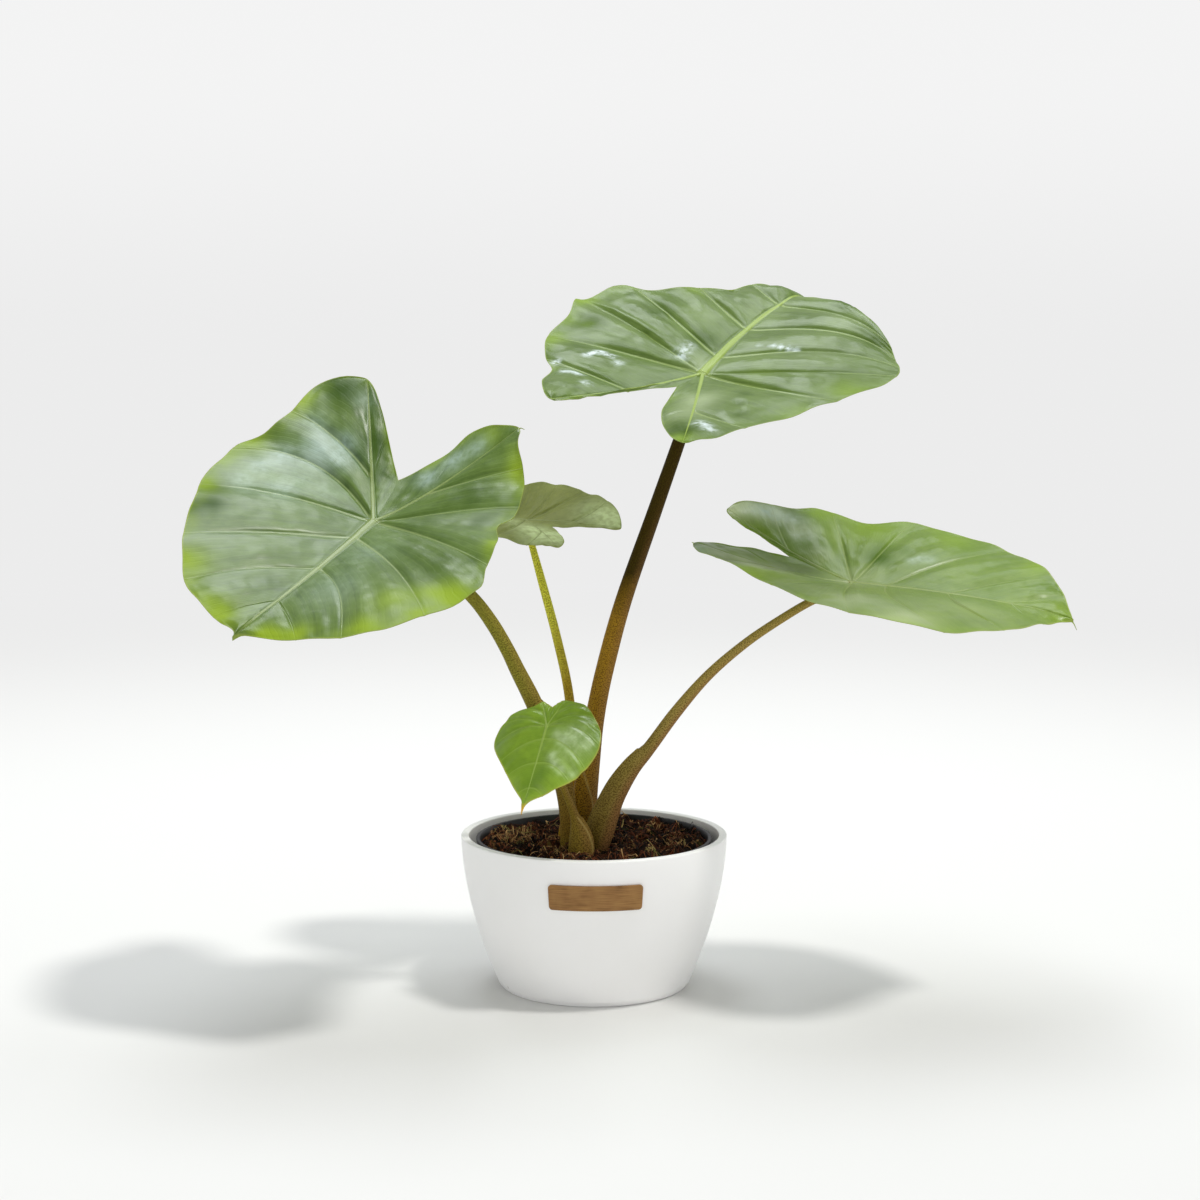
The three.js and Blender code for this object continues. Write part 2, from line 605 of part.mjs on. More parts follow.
function rootGeometry(index, grown) {
  const { x, y, top, height, radius, roots, rootRadius, rootReach } = corm;
  const turn = (2 * Math.PI * index) / roots + 0.7;
  const rings = [0.4, 0.9, 1.3, 1.65, 1.9].map((share, i, list) => {
    const bend = turn + 0.25 * Math.sin(2.1 * share + index);
    const reach = radius * 0.4 + (rootReach * (share - 0.4)) / 1.5;
    const z = top - height * (0.45 + 0.62 * (share - 0.4) ** 1.3);
    const centre = new THREE.Vector3(x + reach * Math.cos(bend), y + reach * Math.sin(bend), z);
    const size = rootRadius * (1 - 0.3 * (i / list.length)) + grown;
    const outward = new THREE.Vector3(Math.cos(bend), Math.sin(bend), -0.6).normalize();
    const lateral = new THREE.Vector3(-Math.sin(bend), Math.cos(bend), 0);
    const up = new THREE.Vector3().crossVectors(outward, lateral);
    const end = i === list.length - 1 ? grown : 0;
    return Array.from({ length: 5 }, (_, j) => {
      const angle = (2 * Math.PI * j) / 5;
      const point = centre.clone().addScaledVector(lateral, size * Math.cos(angle));
      point.addScaledVector(up, size * Math.sin(angle)).addScaledVector(outward, end);
      return [point.x, point.y, point.z];
    });
  });
  return skinned(rings);
}

function cormSolid(grown = 0) {
  const { x, y, top, height, radius, segments, roots } = corm;
  const foot = top - height;
  const profile = [[0.36, 0.03], [0.72, 0.2], [0.92, 0.48], [1, 0.76], [0.96, 0.93]];
  const body = turned([
    [0, foot - grown],
    ...profile.map(([reach, share]) => [radius * reach + grown, foot + share * height]),
    [radius * 0.9 + grown, top + grown], [0, top + grown],
  ], segments);
  body.translate(x, y, 0);
  let solid = toSolid(body);
  for (let i = 0; i < roots; i += 1) {
    solid = solid.add(toSolid(rootGeometry(i, grown)));
  }
  return solid;
}

// Soil

// Height of the crumbly surface: a low crown round the stems with uneven lumps.
function soilHeight(x, y) {
  const reach = Math.hypot(x, y);
  const lumps = Math.sin(0.19 * x + 1.3 * Math.sin(0.11 * y)) * Math.cos(0.23 * y + 0.7)
    + 0.6 * Math.sin(0.47 * x - 0.35 * y) + 0.4 * Math.cos(0.61 * y + 0.41 * x);
  const crown = 0.8 * Math.exp(-((reach / 34) ** 2)) + 1.2 * (reach / 75) ** 2;
  return soil.level + crown + soil.lump * 0.5 * lumps;
}

function soilRadius(z) {
  return linerRadius(z) - liner.wall - gap;
}

// A coir strand: a three-sided fibre that arches out of the soil and back into it.
function strandGeometry(random) {
  const turn = 2 * Math.PI * random();
  const reach = 30 + 34 * Math.sqrt(random());
  const heading = 2 * Math.PI * random();
  const length = 9 + 12 * random();
  const lift = 1 + 1.6 * random();
  const thick = 0.7 + 0.35 * random();
  const rings = [-0.5, -0.2, 0.2, 0.5].map((share) => {
    const x = reach * Math.cos(turn) + length * share * Math.cos(heading);
    const y = reach * Math.sin(turn) + length * share * Math.sin(heading);
    const z = soilHeight(x, y) + lift * (1 - (share * 2.6) ** 2);
    return [0, 1, 2].map((j) => {
      const angle = (2 * Math.PI * j) / 3 + 0.5;
      const side = thick * Math.cos(angle);
      return [x - side * Math.sin(heading), y + side * Math.cos(heading), z + thick * Math.sin(angle)];
    });
  });
  return skinned(rings);
}

function soilGeometry() {
  const { columns, rings, foot, strands } = soil;
  const positions = [];
  const triangles = [];
  const edgeRadius = soilRadius(soil.level - 3);
  const topRing = (share) => Array.from({ length: columns }, (_, i) => {
    const angle = (2 * Math.PI * i) / columns;
    const x = edgeRadius * share * Math.cos(angle);
    const y = edgeRadius * share * Math.sin(angle);
    return [x, y, soilHeight(x, y)];
  });
  const levelRing = (z) => Array.from({ length: columns }, (_, i) => {
    const angle = (2 * Math.PI * i) / columns;
    return [soilRadius(z) * Math.cos(angle), soilRadius(z) * Math.sin(angle), z];
  });
  const shells = [levelRing(foot), levelRing((foot + soil.level) / 2)];
  for (let j = rings; j >= 1; j -= 1) shells.push(topRing(j / rings));
  shells.forEach((ring) => ring.forEach((point) => positions.push(...point)));
  for (let i = 0; i < shells.length - 1; i += 1) {
    for (let j = 0; j < columns; j += 1) {
      const a = i * columns + j;
      const b = i * columns + ((j + 1) % columns);
      triangles.push(a, b, b + columns, a, b + columns, a + columns);
    }
  }
  const low = positions.length / 3;
  const high = low + 1;
  positions.push(0, 0, foot, 0, 0, soilHeight(0, 0));
  const inner = (shells.length - 1) * columns;
  for (let j = 0; j < columns; j += 1) {
    const next = (j + 1) % columns;
    triangles.push(low, next, j);
    triangles.push(high, inner + j, inner + next);
  }
  let solid = toSolid(closed(positions, triangles));
  const random = randomRun(7);
  for (let i = 0; i < strands; i += 1) {
    solid = solid.add(toSolid(strandGeometry(random)));
  }
  for (const [name, leaf] of Object.entries(leaves)) {
    solid = solid.subtract(toSolid(stemGeometry(leaf, fineness[name].stemSides, gap * 1.3)));
  }
  return fromSolid(solid.subtract(cormSolid(gap)));
}

// Assembly

const finishes = {
  planter: { color: 0xf4f3f0, roughness: 0.42, metalness: 0 },
  plate: { color: 0x8a6238, roughness: 0.38, metalness: 0.9 },
  liner: { color: 0x1d1d1f, roughness: 0.55, metalness: 0 },
  soil: { color: 0x3a2417, roughness: 0.95, metalness: 0 },
  corm: { color: 0x6b5335, roughness: 0.8, metalness: 0 },
  stem: { color: 0x6f5f34, roughness: 0.5, metalness: 0 },
  paleStem: { color: 0x9a8a3c, roughness: 0.5, metalness: 0 },
  blade: { color: 0x5f7f45, roughness: 0.34, metalness: 0 },
  youngBlade: { color: 0x79a83f, roughness: 0.34, metalness: 0 },
};

function piece(name, geometry, finish) {
  geometry.computeVertexNormals();
  const mesh = new THREE.Mesh(geometry, new THREE.MeshStandardMaterial(finishes[finish]));
  mesh.name = name;
  return mesh;
}

const group = new THREE.Group();
group.add(piece('planter', planterGeometry(), 'planter'));
group.add(piece('label_plate', plateGeometry(), 'plate'));
group.add(piece('nursery_pot', linerGeometry(), 'liner'));
group.add(piece('soil', soilGeometry(), 'soil'));
group.add(piece('corm', fromSolid(cormSolid()), 'corm'));
for (const [name, leaf] of Object.entries(leaves)) {
  const young = name === 'young' || name === 'rear';
  group.add(piece(`petiole_${name}`, stemGeometry(leaf, fineness[name].stemSides), young ? 'paleStem' : 'stem'));
  group.add(piece(`blade_${name}`, bladeGeometry(leaf, fineness[name]), name === 'young' ? 'youngBlade' : 'blade'));
}

export default group;
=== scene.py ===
import math
import bpy
import numpy as np
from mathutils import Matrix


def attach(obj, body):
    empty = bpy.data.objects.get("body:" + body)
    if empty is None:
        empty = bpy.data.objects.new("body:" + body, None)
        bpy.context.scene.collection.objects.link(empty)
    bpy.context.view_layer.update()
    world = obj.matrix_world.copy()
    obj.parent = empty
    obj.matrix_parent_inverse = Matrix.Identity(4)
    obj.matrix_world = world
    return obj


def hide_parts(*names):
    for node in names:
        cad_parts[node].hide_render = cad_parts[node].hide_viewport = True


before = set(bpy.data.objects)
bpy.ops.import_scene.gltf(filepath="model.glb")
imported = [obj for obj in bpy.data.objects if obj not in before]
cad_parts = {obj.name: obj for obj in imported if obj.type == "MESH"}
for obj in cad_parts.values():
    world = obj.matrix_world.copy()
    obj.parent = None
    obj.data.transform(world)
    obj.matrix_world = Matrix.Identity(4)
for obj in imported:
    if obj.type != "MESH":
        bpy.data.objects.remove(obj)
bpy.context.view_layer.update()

# A potted elephant-ear plant. Sizes in the dictionaries are millimetres, as a grower or a
# potter would measure them, and `mm` turns them to metres where a mesh is made. Sizes in
# the materials are metres, as Object coordinates are, and a noise's scale is in waves a metre.
mm = 0.001
scene = bpy.context.scene
print("frame loaded,", len(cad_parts), "solids")


# Camera and lights

cameraSet = dict(place=(0.00397, -1.5, 0.417), pitchDown=6.11, lens=68.9, sensor=36.0, sightEnd=50)

camera = bpy.data.objects.new("viewCamera", bpy.data.cameras.new("viewCamera"))
camera.location = cameraSet["place"]
camera.rotation_euler = (math.radians(90 - cameraSet["pitchDown"]), 0, 0)
camera.data.lens = cameraSet["lens"]
camera.data.sensor_width = cameraSet["sensor"]
camera.data.clip_end = cameraSet["sightEnd"]
scene.collection.objects.link(camera)
scene.camera = camera


def linearColour(hexCode):
    # sRGB to linear: the low part is a straight line, the rest a power of 2.4
    value = np.array([int(hexCode[i:i + 2], 16) for i in (1, 3, 5)]) / 255
    return (*np.where(value <= 0.04045, value / 12.92, ((value + 0.055) / 1.055) ** 2.4), 1.0)


def feed(node, inputs):
    # fills a node's sockets: a number as it is, a hex colour made linear, and another node's
    # socket, or the first one in use of a whole node, by a link
    for key, value in inputs.items():
        if isinstance(value, str):
            value = linearColour(value)
        if isinstance(value, bpy.types.Node):
            value = next(socket for socket in value.outputs if socket.enabled)
        if isinstance(value, bpy.types.NodeSocket):
            node.id_data.links.new(value, node.inputs[key])
        else:
            node.inputs[key].default_value = value


def addNode(tree, kind, inputs=None, stops=None, **settings):
    # one node with its settings, its inputs and, on a ramp, its stops
    node = tree.nodes.new(kind)
    for key, value in settings.items():
        setattr(node, key, value)
    if stops:
        ramp = node.color_ramp
        while len(ramp.elements) < len(stops):
            ramp.elements.new(0.5)
        for element, (position, hexCode) in zip(ramp.elements, stops):
            element.position = position
            element.color = linearColour(hexCode)
    feed(node, inputs or {})
    return node


def newMaterial(name):
    material = bpy.data.materials.new(name)
    material.use_nodes = True
    return material, material.node_tree, material.node_tree.nodes["Principled BSDF"]


lightSet = dict(
    sunFrom=(0.5, -0.25, 1.4), sunAngle=7.0, sunPower=1.42, sunColour=(1.0, 0.985, 0.955),
    panels=[
        dict(name="overPanel", x=-0.25, y=0.58, wide=0.75, deep=1.85, power=26.0),
        dict(name="rightPanel", x=0.66, y=0.72, wide=0.7, deep=1.4, power=11.0),
    ],
    panelsHigh=2.35, panelColour=(0.92, 0.96, 1.0),
    wallSide=0.66, roomSide=0.93, ceiling=0.29, backdropLow=0.84, backdropHigh=0.9,
)


def aimedTurn(place, aim):
    # a lamp shines along its own -Z, so its +Z points from the aim back to its place
    back = np.subtract(place, aim)
    flat = math.hypot(back[0], back[1])
    return math.atan2(flat, back[2]), 0, math.atan2(back[0], -back[1])


def addLamp(name, kind, place, aim, power, **settings):
    lamp = bpy.data.objects.new(name, bpy.data.lights.new(name, kind))
    lamp.data.energy = power
    for key, value in settings.items():
        setattr(lamp.data, key, value)
    lamp.location = place
    lamp.rotation_euler = aimedTurn(place, aim)
    scene.collection.objects.link(lamp)


addLamp("keySun", "SUN", lightSet["sunFrom"], (0, 0, 0), lightSet["sunPower"],
        angle=math.radians(lightSet["sunAngle"]), color=lightSet["sunColour"])
for panel in lightSet["panels"]:
    below = (panel["x"], panel["y"], 0.0)
    addLamp(panel["name"], "AREA", (*below[:2], lightSet["panelsHigh"]), below, panel["power"],
            shape="RECTANGLE", size=panel["wide"], size_y=panel["deep"], color=lightSet["panelColour"])


def paleRoom():
    # a light-walled room: bright wall behind the plant, dimmer in front of it, and a plain
    # backdrop wherever it is looked at directly
    world = bpy.data.worlds.new("paleRoom")
    world.use_nodes = True
    tree = world.node_tree
    way = addNode(tree, "ShaderNodeTexCoord").outputs["Generated"]
    axes = addNode(tree, "ShaderNodeSeparateXYZ", {"Vector": way}).outputs
    depth = addNode(tree, "ShaderNodeMapRange", {
        "Value": axes["Y"], "From Min": -0.4, "From Max": 0.6,
        "To Min": lightSet["roomSide"], "To Max": lightSet["wallSide"],
    }, interpolation_type="SMOOTHSTEP")
    upward = addNode(tree, "ShaderNodeMapRange", {
        "Value": axes["Z"], "From Min": 0.3, "From Max": 0.8,
    }, interpolation_type="SMOOTHSTEP")
    level = addNode(tree, "ShaderNodeMix", {"Factor": upward, "A": depth, "B": lightSet["ceiling"]})
    seen = addNode(tree, "ShaderNodeLightPath").outputs["Is Camera Ray"]
    backdrop = addNode(tree, "ShaderNodeMapRange", {
        "Value": axes["Z"], "From Min": 0.0, "From Max": 0.12,
        "To Min": lightSet["backdropLow"], "To Max": lightSet["backdropHigh"],
    }, interpolation_type="SMOOTHSTEP")
    tone = addNode(tree, "ShaderNodeMix", {"Factor": seen, "A": level, "B": backdrop})
    feed(tree.nodes["Background"], {"Color": "#ffffff", "Strength": tone})
    return world


scene.world = paleRoom()
scene.view_settings.view_transform = "Standard"
print("camera and lights placed")


# Mesh tools: a shape is a grid of points worked out as whole arrays

def gridTriangles(index, closed=False):
    # two triangles for each cell of an index grid, whose columns may close on themselves
    if closed:
        index = np.concatenate([index, index[:, :1]], 1)
    a, b, c, d = index[:-1, :-1], index[:-1, 1:], index[1:, 1:], index[1:, :-1]
    return np.concatenate([np.stack([a, b, c], -1).reshape(-1, 3), np.stack([a, c, d], -1).reshape(-1, 3)])


def insideOut(points, triangles):
    # true where the body's signed volume is negative: the sum of a . (b x c) over its triangles
    a, b, c = (points[triangles[:, i]] for i in range(3))
    return np.einsum("ij,ij->i", a, np.cross(b, c)).sum() < 0


def closedTube(rings, poles):
    # rings of points, each joined to the next, and a fan from either end ring to its pole
    count, sides = rings.shape[:2]
    index = np.arange(count * sides).reshape(count, sides)
    follow = np.roll(index, -1, 1)
    first = np.stack([follow[0], index[0], np.full(sides, index.size)], 1)
    last = np.stack([index[-1], follow[-1], np.full(sides, index.size + 1)], 1)
    points = np.concatenate([rings.reshape(-1, 3), poles])
    triangles = np.concatenate([gridTriangles(index, closed=True), first, last])
    return points, triangles[:, ::-1] if insideOut(points, triangles) else triangles


def joinBodies(bodies):
    # several bodies as one list of points and one of triangles
    starts = np.cumsum([0] + [len(body[0]) for body in bodies])
    triangles = [body[1] + start for body, start in zip(bodies, starts)]
    return np.concatenate([body[0] for body in bodies]), np.concatenate(triangles)


def makePiece(name, points, triangles, materials, node, slot, faceMaterial=None, cornerUv=None, fields=None):
    # points in millimetres; cornerUv has a pair for each triangle corner; fields are point attributes
    mesh = bpy.data.meshes.new(name)
    mesh.from_pydata((points * mm).tolist(), [], triangles.tolist())
    for material in materials:
        mesh.materials.append(material)
    if faceMaterial is not None:
        mesh.polygons.foreach_set("material_index", faceMaterial.astype(np.int32))
    if cornerUv is not None:
        layer = mesh.uv_layers.new(name="surface")
        layer.uv.foreach_set("vector", cornerUv.astype(np.float32).ravel())
    for key, values in (fields or {}).items():
        mesh.attributes.new(key, "FLOAT", "POINT").data.foreach_set("value", values.astype(np.float32))
    mesh.polygons.foreach_set("use_smooth", np.ones(len(triangles), bool))
    mesh.validate()
    mesh.update()
    piece = bpy.data.objects.new(name, mesh)
    scene.collection.objects.link(piece)
    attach(piece, "root")
    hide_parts(node)
    print(name, len(triangles), "triangles")
    return piece


def hermite(rows, keys):
    # a smooth curve through rows of [key, values...]: each span is a cubic whose end slopes
    # are those of the line between the neighbouring rows
    rows = np.asarray(rows, float)
    if rows[0, 0] > rows[-1, 0]:
        rows = rows[::-1]
    x, y = rows[:, 0], rows[:, 1:]
    slope = np.empty_like(y)
    slope[1:-1] = (y[2:] - y[:-2]) / (x[2:] - x[:-2])[:, None]
    slope[0] = (y[1] - y[0]) / (x[1] - x[0])
    slope[-1] = (y[-1] - y[-2]) / (x[-1] - x[-2])
    keys = np.clip(keys, x[0], x[-1])
    i = np.clip(np.searchsorted(x, keys) - 1, 0, len(x) - 2)
    span = (x[i + 1] - x[i])[..., None]
    w = (keys - x[i])[..., None] / span
    value = (1 + 2 * w) * (1 - w) ** 2 * y[i] + w * w * (3 - 2 * w) * y[i + 1]
    return value + w * (1 - w) ** 2 * span * slope[i] + w * w * (w - 1) * span * slope[i + 1]


def softNoise(places, size, seed, waves=9):
    # smooth uneven field, mostly from -1 to 1: sine waves of about
    # one size that run in random directions
    random = np.random.default_rng(seed)
    axes = random.normal(size=(waves, places.shape[-1]))
    axes *= (2 * np.pi / size * random.uniform(0.6, 1.5, waves) / np.linalg.norm(axes, axis=1))[:, None]
    phases = random.uniform(0, 2 * np.pi, waves)
    return np.sin(places @ axes.T + phases).sum(-1) / math.sqrt(waves)


def easeStep(low, high, value):
    # 0 at low, 1 at high, and a smooth S between
    t = np.clip((value - low) / (high - low), 0, 1)
    return t * t * (3 - 2 * t)


def unit(vector):
    # each vector divided by its own length
    vector = np.asarray(vector, float)
    return vector / np.linalg.norm(vector, axis=-1, keepdims=True)


# Floor: a wide pale matt table, part of the stage

floorSet = dict(radius=9.0, sides=96, colour="#e0e0de", fadeFrom=0.75, fadeTo=2.6)


def matteFloor():
    # painted board, rolled matt: no gloss, hardly any tone; far off it takes the backdrop's
    # own brightness, so that no edge shows between the two
    material, tree, shader = newMaterial("Painted board, rolled matt")
    feed(shader, {"Base Color": floorSet["colour"], "Roughness": 0.7, "Specular IOR Level": 0.2})
    where = addNode(tree, "ShaderNodeTexCoord").outputs["Object"]
    far = addNode(tree, "ShaderNodeVectorMath", {0: where}, operation="LENGTH")
    share = addNode(tree, "ShaderNodeMapRange", {
        "Value": far, "From Min": floorSet["fadeFrom"], "From Max": floorSet["fadeTo"],
    }, interpolation_type="SMOOTHSTEP")
    glow = addNode(tree, "ShaderNodeEmission", {"Strength": lightSet["backdropLow"]})
    mixed = addNode(tree, "ShaderNodeMixShader", {0: share, 1: shader, 2: glow})
    feed(tree.nodes["Material Output"], {"Surface": mixed})
    return material


turns = np.linspace(0, 2 * np.pi, floorSet["sides"], endpoint=False)
floorMesh = bpy.data.meshes.new("floor")
floorRing = np.stack([np.cos(turns), np.sin(turns), turns * 0], 1) * floorSet["radius"]
floorMesh.from_pydata(floorRing.tolist(), [], [list(range(floorSet["sides"]))])
floorMesh.materials.append(matteFloor())
floor = bpy.data.objects.new("floor", floorMesh)
scene.collection.objects.link(floor)


# Planter: a moulded bowl turned about the upright axis

planter = dict(
    height=101, footRadius=62.6, rimRadius=88, bellyPower=1.75, rimWall=5.2, wall=4.4, floor=4.3,
    rimRound=0.9, footRound=2.2, sides=240, colour="#fbfbfb", warmColour="#f5f4f2", dirtColour="#9b9187",
)


def wallRadius(z):
    # the wall swells from foot to rim: foot + (rim - foot) * (1 - (1 - z / height) ** power)
    rise = 1 - (1 - np.minimum(z, planter["height"]) / planter["height"]) ** planter["bellyPower"]
    return planter["footRadius"] + (planter["rimRadius"] - planter["footRadius"]) * rise


def cornerArc(centre, radius, start, end, steps):
    # points of a round corner, from one angle to another, in degrees from +radius towards +height
    turn = np.radians(np.linspace(start, end, steps))
    return np.stack([centre[0] + radius * np.cos(turn), centre[1] + radius * np.sin(turn)], 1)


def turnedPiece(profile, sides):
    # the profile's radius and height carried round the upright axis; its first and last
    # points lie on the axis and become poles
    turn = np.linspace(0, 2 * np.pi, sides, endpoint=False)
    radius = np.repeat(profile[1:-1, 0][:, None], sides, 1)
    height = np.repeat(profile[1:-1, 1][:, None], sides, 1)
    rings = np.stack([radius * np.cos(turn), radius * np.sin(turn), height], -1)
    return closedTube(rings, [[0, 0, profile[0, 1]], [0, 0, profile[-1, 1]]])


def planterProfile():
    # from the foot's middle out round its corner, up the wall, over the rim, down the inside
    # and back to the middle of the floor; the wall thickens with the height's fourth power
    p = planter
    footEdge = p["footRadius"] - p["footRound"]
    footCorner = 1.9
    rimFoot = p["height"] - p["rimRound"]
    outerZ = np.linspace(2.4, rimFoot, 44)
    innerZ = np.linspace(rimFoot, 8, 34)
    thickness = p["wall"] + (p["rimWall"] - p["wall"]) * (innerZ / p["height"]) ** 4
    rimOuter = p["rimRadius"] - p["rimRound"]
    rimInner = p["rimRadius"] - p["rimWall"] + p["rimRound"]
    floorEdge = float(wallRadius(4)) - p["wall"]
    return np.concatenate([
        [[0, 0], [20, 0], [40, 0], [footEdge, 0]],
        cornerArc((footEdge + 0.3, footCorner), footCorner, -90, -12, 7),
        np.stack([wallRadius(outerZ), outerZ], 1),
        cornerArc((rimOuter, rimFoot), p["rimRound"], 10, 90, 6),
        cornerArc((rimInner, rimFoot), p["rimRound"], 90, 170, 6),
        np.stack([wallRadius(innerZ) - thickness, innerZ], 1),
        [[floorEdge - 1.6, p["floor"] + 1], [floorEdge - 3, p["floor"]]],
        [[40, p["floor"]], [20, p["floor"]], [0, p["floor"]]],
    ])


def satinPlanter():
    # injection-moulded polypropylene with a satin lacquer: broad soft highlight, a very
    # slight orange peel and a few scuffs low on the wall
    material, tree, shader = newMaterial("Polypropylene, injection moulded, satin lacquer")
    where = addNode(tree, "ShaderNodeTexCoord").outputs["Object"]
    # clouds about 70 mm wide, hardly warmer than the rest
    cloud = addNode(tree, "ShaderNodeTexNoise", {"Vector": where, "Scale": 14.0, "Detail": 3.0})
    tone = addNode(tree, "ShaderNodeMix", {
        "Factor": cloud, "A": planter["colour"], "B": planter["warmColour"],
    }, data_type="RGBA")
    # scuffs about 2 mm wide and 26 mm apart, fading out 75 mm up
    scuff = addNode(tree, "ShaderNodeTexVoronoi", {"Vector": where, "Scale": 38.0, "Randomness": 1.0})
    spot = addNode(tree, "ShaderNodeMapRange", {
        "Value": scuff, "From Min": 0.03, "From Max": 0.05, "To Min": 1.0, "To Max": 0.0,
    })
    height = addNode(tree, "ShaderNodeSeparateXYZ", {"Vector": where}).outputs["Z"]
    low = addNode(tree, "ShaderNodeMapRange", {
        "Value": height, "From Min": 0.012, "From Max": 0.075, "To Min": 0.34, "To Max": 0.0,
    })
    dirt = addNode(tree, "ShaderNodeMath", {0: spot, 1: low}, operation="MULTIPLY")
    worn = addNode(tree, "ShaderNodeMix", {
        "Factor": dirt, "A": tone, "B": planter["dirtColour"],
    }, data_type="RGBA")
    # orange peel about 1.5 mm across
    peel = addNode(tree, "ShaderNodeTexNoise", {"Vector": where, "Scale": 650.0, "Detail": 1.0})
    bump = addNode(tree, "ShaderNodeBump", {"Height": peel, "Strength": 0.12, "Distance": 0.0002})
    rough = addNode(tree, "ShaderNodeMapRange", {"Value": cloud, "To Min": 0.33, "To Max": 0.46})
    feed(shader, {"Base Color": worn, "Normal": bump, "Roughness": rough, "IOR": 1.49})
    return material


points, triangles = turnedPiece(planterProfile(), planter["sides"])
makePiece("planterBowl", points, triangles, [satinPlanter()], "planter", "planter")


# Label plate: a bare metal strip bent to the planter's front

plate = dict(
    width=59.6, height=16.4, centreX=1.2, centreZ=77, thickness=1.2, cornerRadius=2.2, gap=0.3,
    columns=90, cornerColumns=8, rows=16, bevel=0.32, colour="#a47c4c", darkColour="#6d4b2b",
)


def plateSurface():
    # a flat strip with round corners, wrapped on the wall: across is an arc length at the
    # centre's height, and the ends are drawn in by a quarter round
    half, reach, corner = plate["width"] / 2, plate["height"] / 2, plate["cornerRadius"]
    quarter = np.linspace(0, np.pi / 2, plate["cornerColumns"])
    across = np.concatenate([
        -half + corner * (1 - np.cos(quarter)),
        np.linspace(-half + corner, half - corner, plate["columns"])[1:-1],
        half - corner * (1 - np.sin(quarter)),
    ])
    into = np.maximum(np.abs(across) - (half - corner), 0)
    tall = reach - corner + np.sqrt(np.maximum(corner ** 2 - into ** 2, 0))
    z = plate["centreZ"] + tall[:, None] * np.linspace(-1, 1, plate["rows"] + 1)[None]
    radius = wallRadius(z) + plate["gap"] + plate["thickness"]
    turn = (plate["centreX"] + across)[:, None] / float(wallRadius(plate["centreZ"]))
    points = np.stack([radius * np.sin(turn), -radius * np.cos(turn), z], -1)
    index = np.arange(points.shape[0] * points.shape[1]).reshape(points.shape[:2])
    return points.reshape(-1, 3), gridTriangles(index)[:, ::-1]


def brushedBronze():
    # bronze-coloured aluminium, brushed along its length: long fine streaks, warm brown
    # between them, and soft blots where the lacquer is thin
    material, tree, shader = newMaterial("Aluminium, bronze anodised, brushed lengthwise")
    where = addNode(tree, "ShaderNodeTexCoord").outputs["Object"]
    # streaks 0.3 mm apart and 12 mm long, coarser than real ones so that they show
    stretched = addNode(tree, "ShaderNodeMapping", {"Vector": where, "Scale": (80.0, 80.0, 3300.0)})
    streak = addNode(tree, "ShaderNodeTexNoise", {"Vector": stretched, "Scale": 1.0, "Detail": 3.0})
    blot = addNode(tree, "ShaderNodeTexNoise", {"Vector": where, "Scale": 90.0, "Detail": 2.0})
    both = addNode(tree, "ShaderNodeMix", {"Factor": 0.35, "A": streak, "B": blot})
    tone = addNode(tree, "ShaderNodeValToRGB", {"Fac": both}, stops=[
        (0.3, plate["darkColour"]), (0.62, plate["colour"]),
    ])
    bump = addNode(tree, "ShaderNodeBump", {"Height": streak, "Strength": 0.25, "Distance": 0.0001})
    feed(shader, {"Base Color": tone, "Normal": bump, "Metallic": 0.75, "Roughness": 0.42})
    return material


label = makePiece("labelPlate", *plateSurface(), [brushedBronze()], "label_plate", "label_plate")
wall = label.modifiers.new("wall", "SOLIDIFY")
wall.thickness = plate["thickness"] * mm
wall.offset = -1
edge = label.modifiers.new("edge", "BEVEL")
edge.width = plate["bevel"] * mm
edge.segments = 2
edge.limit_method = "ANGLE"
edge.angle_limit = math.radians(50)


# Nursery pot: the thin liner

liner = dict(
    top=98.7, foot=4.6, footRadius=56.5, topRadius=77, wall=1.2, lipWidth=1.3, lipHeight=5,
    sides=180, colour="#0e0e10", dustColour="#2e2822",
)


def linerRadius(z):
    # a straight taper from foot to top
    share = (z - liner["foot"]) / (liner["top"] - liner["foot"])
    return liner["footRadius"] + (liner["topRadius"] - liner["footRadius"]) * share


def linerProfile():
    # from the foot's middle out and up the tapered wall, round the thicker lip, down the
    # inside and back to the middle of the floor
    p = liner
    lipFoot = p["top"] - p["lipHeight"]
    floorZ = p["foot"] + p["wall"]
    outerZ = np.linspace(p["foot"] + 1.2, lipFoot, 24)
    innerZ = np.linspace(p["top"] - 0.5, floorZ + 1, 26)
    return np.concatenate([
        [[0, p["foot"]], [28, p["foot"]], [p["footRadius"] - 1, p["foot"]]],
        np.stack([linerRadius(outerZ), outerZ], 1),
        [[linerRadius(lipFoot) + p["lipWidth"], lipFoot + 0.4]],
        [[linerRadius(p["top"]) + p["lipWidth"], p["top"] - 0.6]],
        cornerArc((p["topRadius"] + p["lipWidth"] - 0.6, p["top"] - 0.6), 0.6, 15, 90, 4),
        cornerArc((p["topRadius"] - p["wall"] + 0.5, p["top"] - 0.5), 0.5, 90, 165, 4),
        np.stack([linerRadius(innerZ) - p["wall"], innerZ], 1),
        [[p["footRadius"] - 3, floorZ], [28, floorZ], [0, floorZ]],
    ])


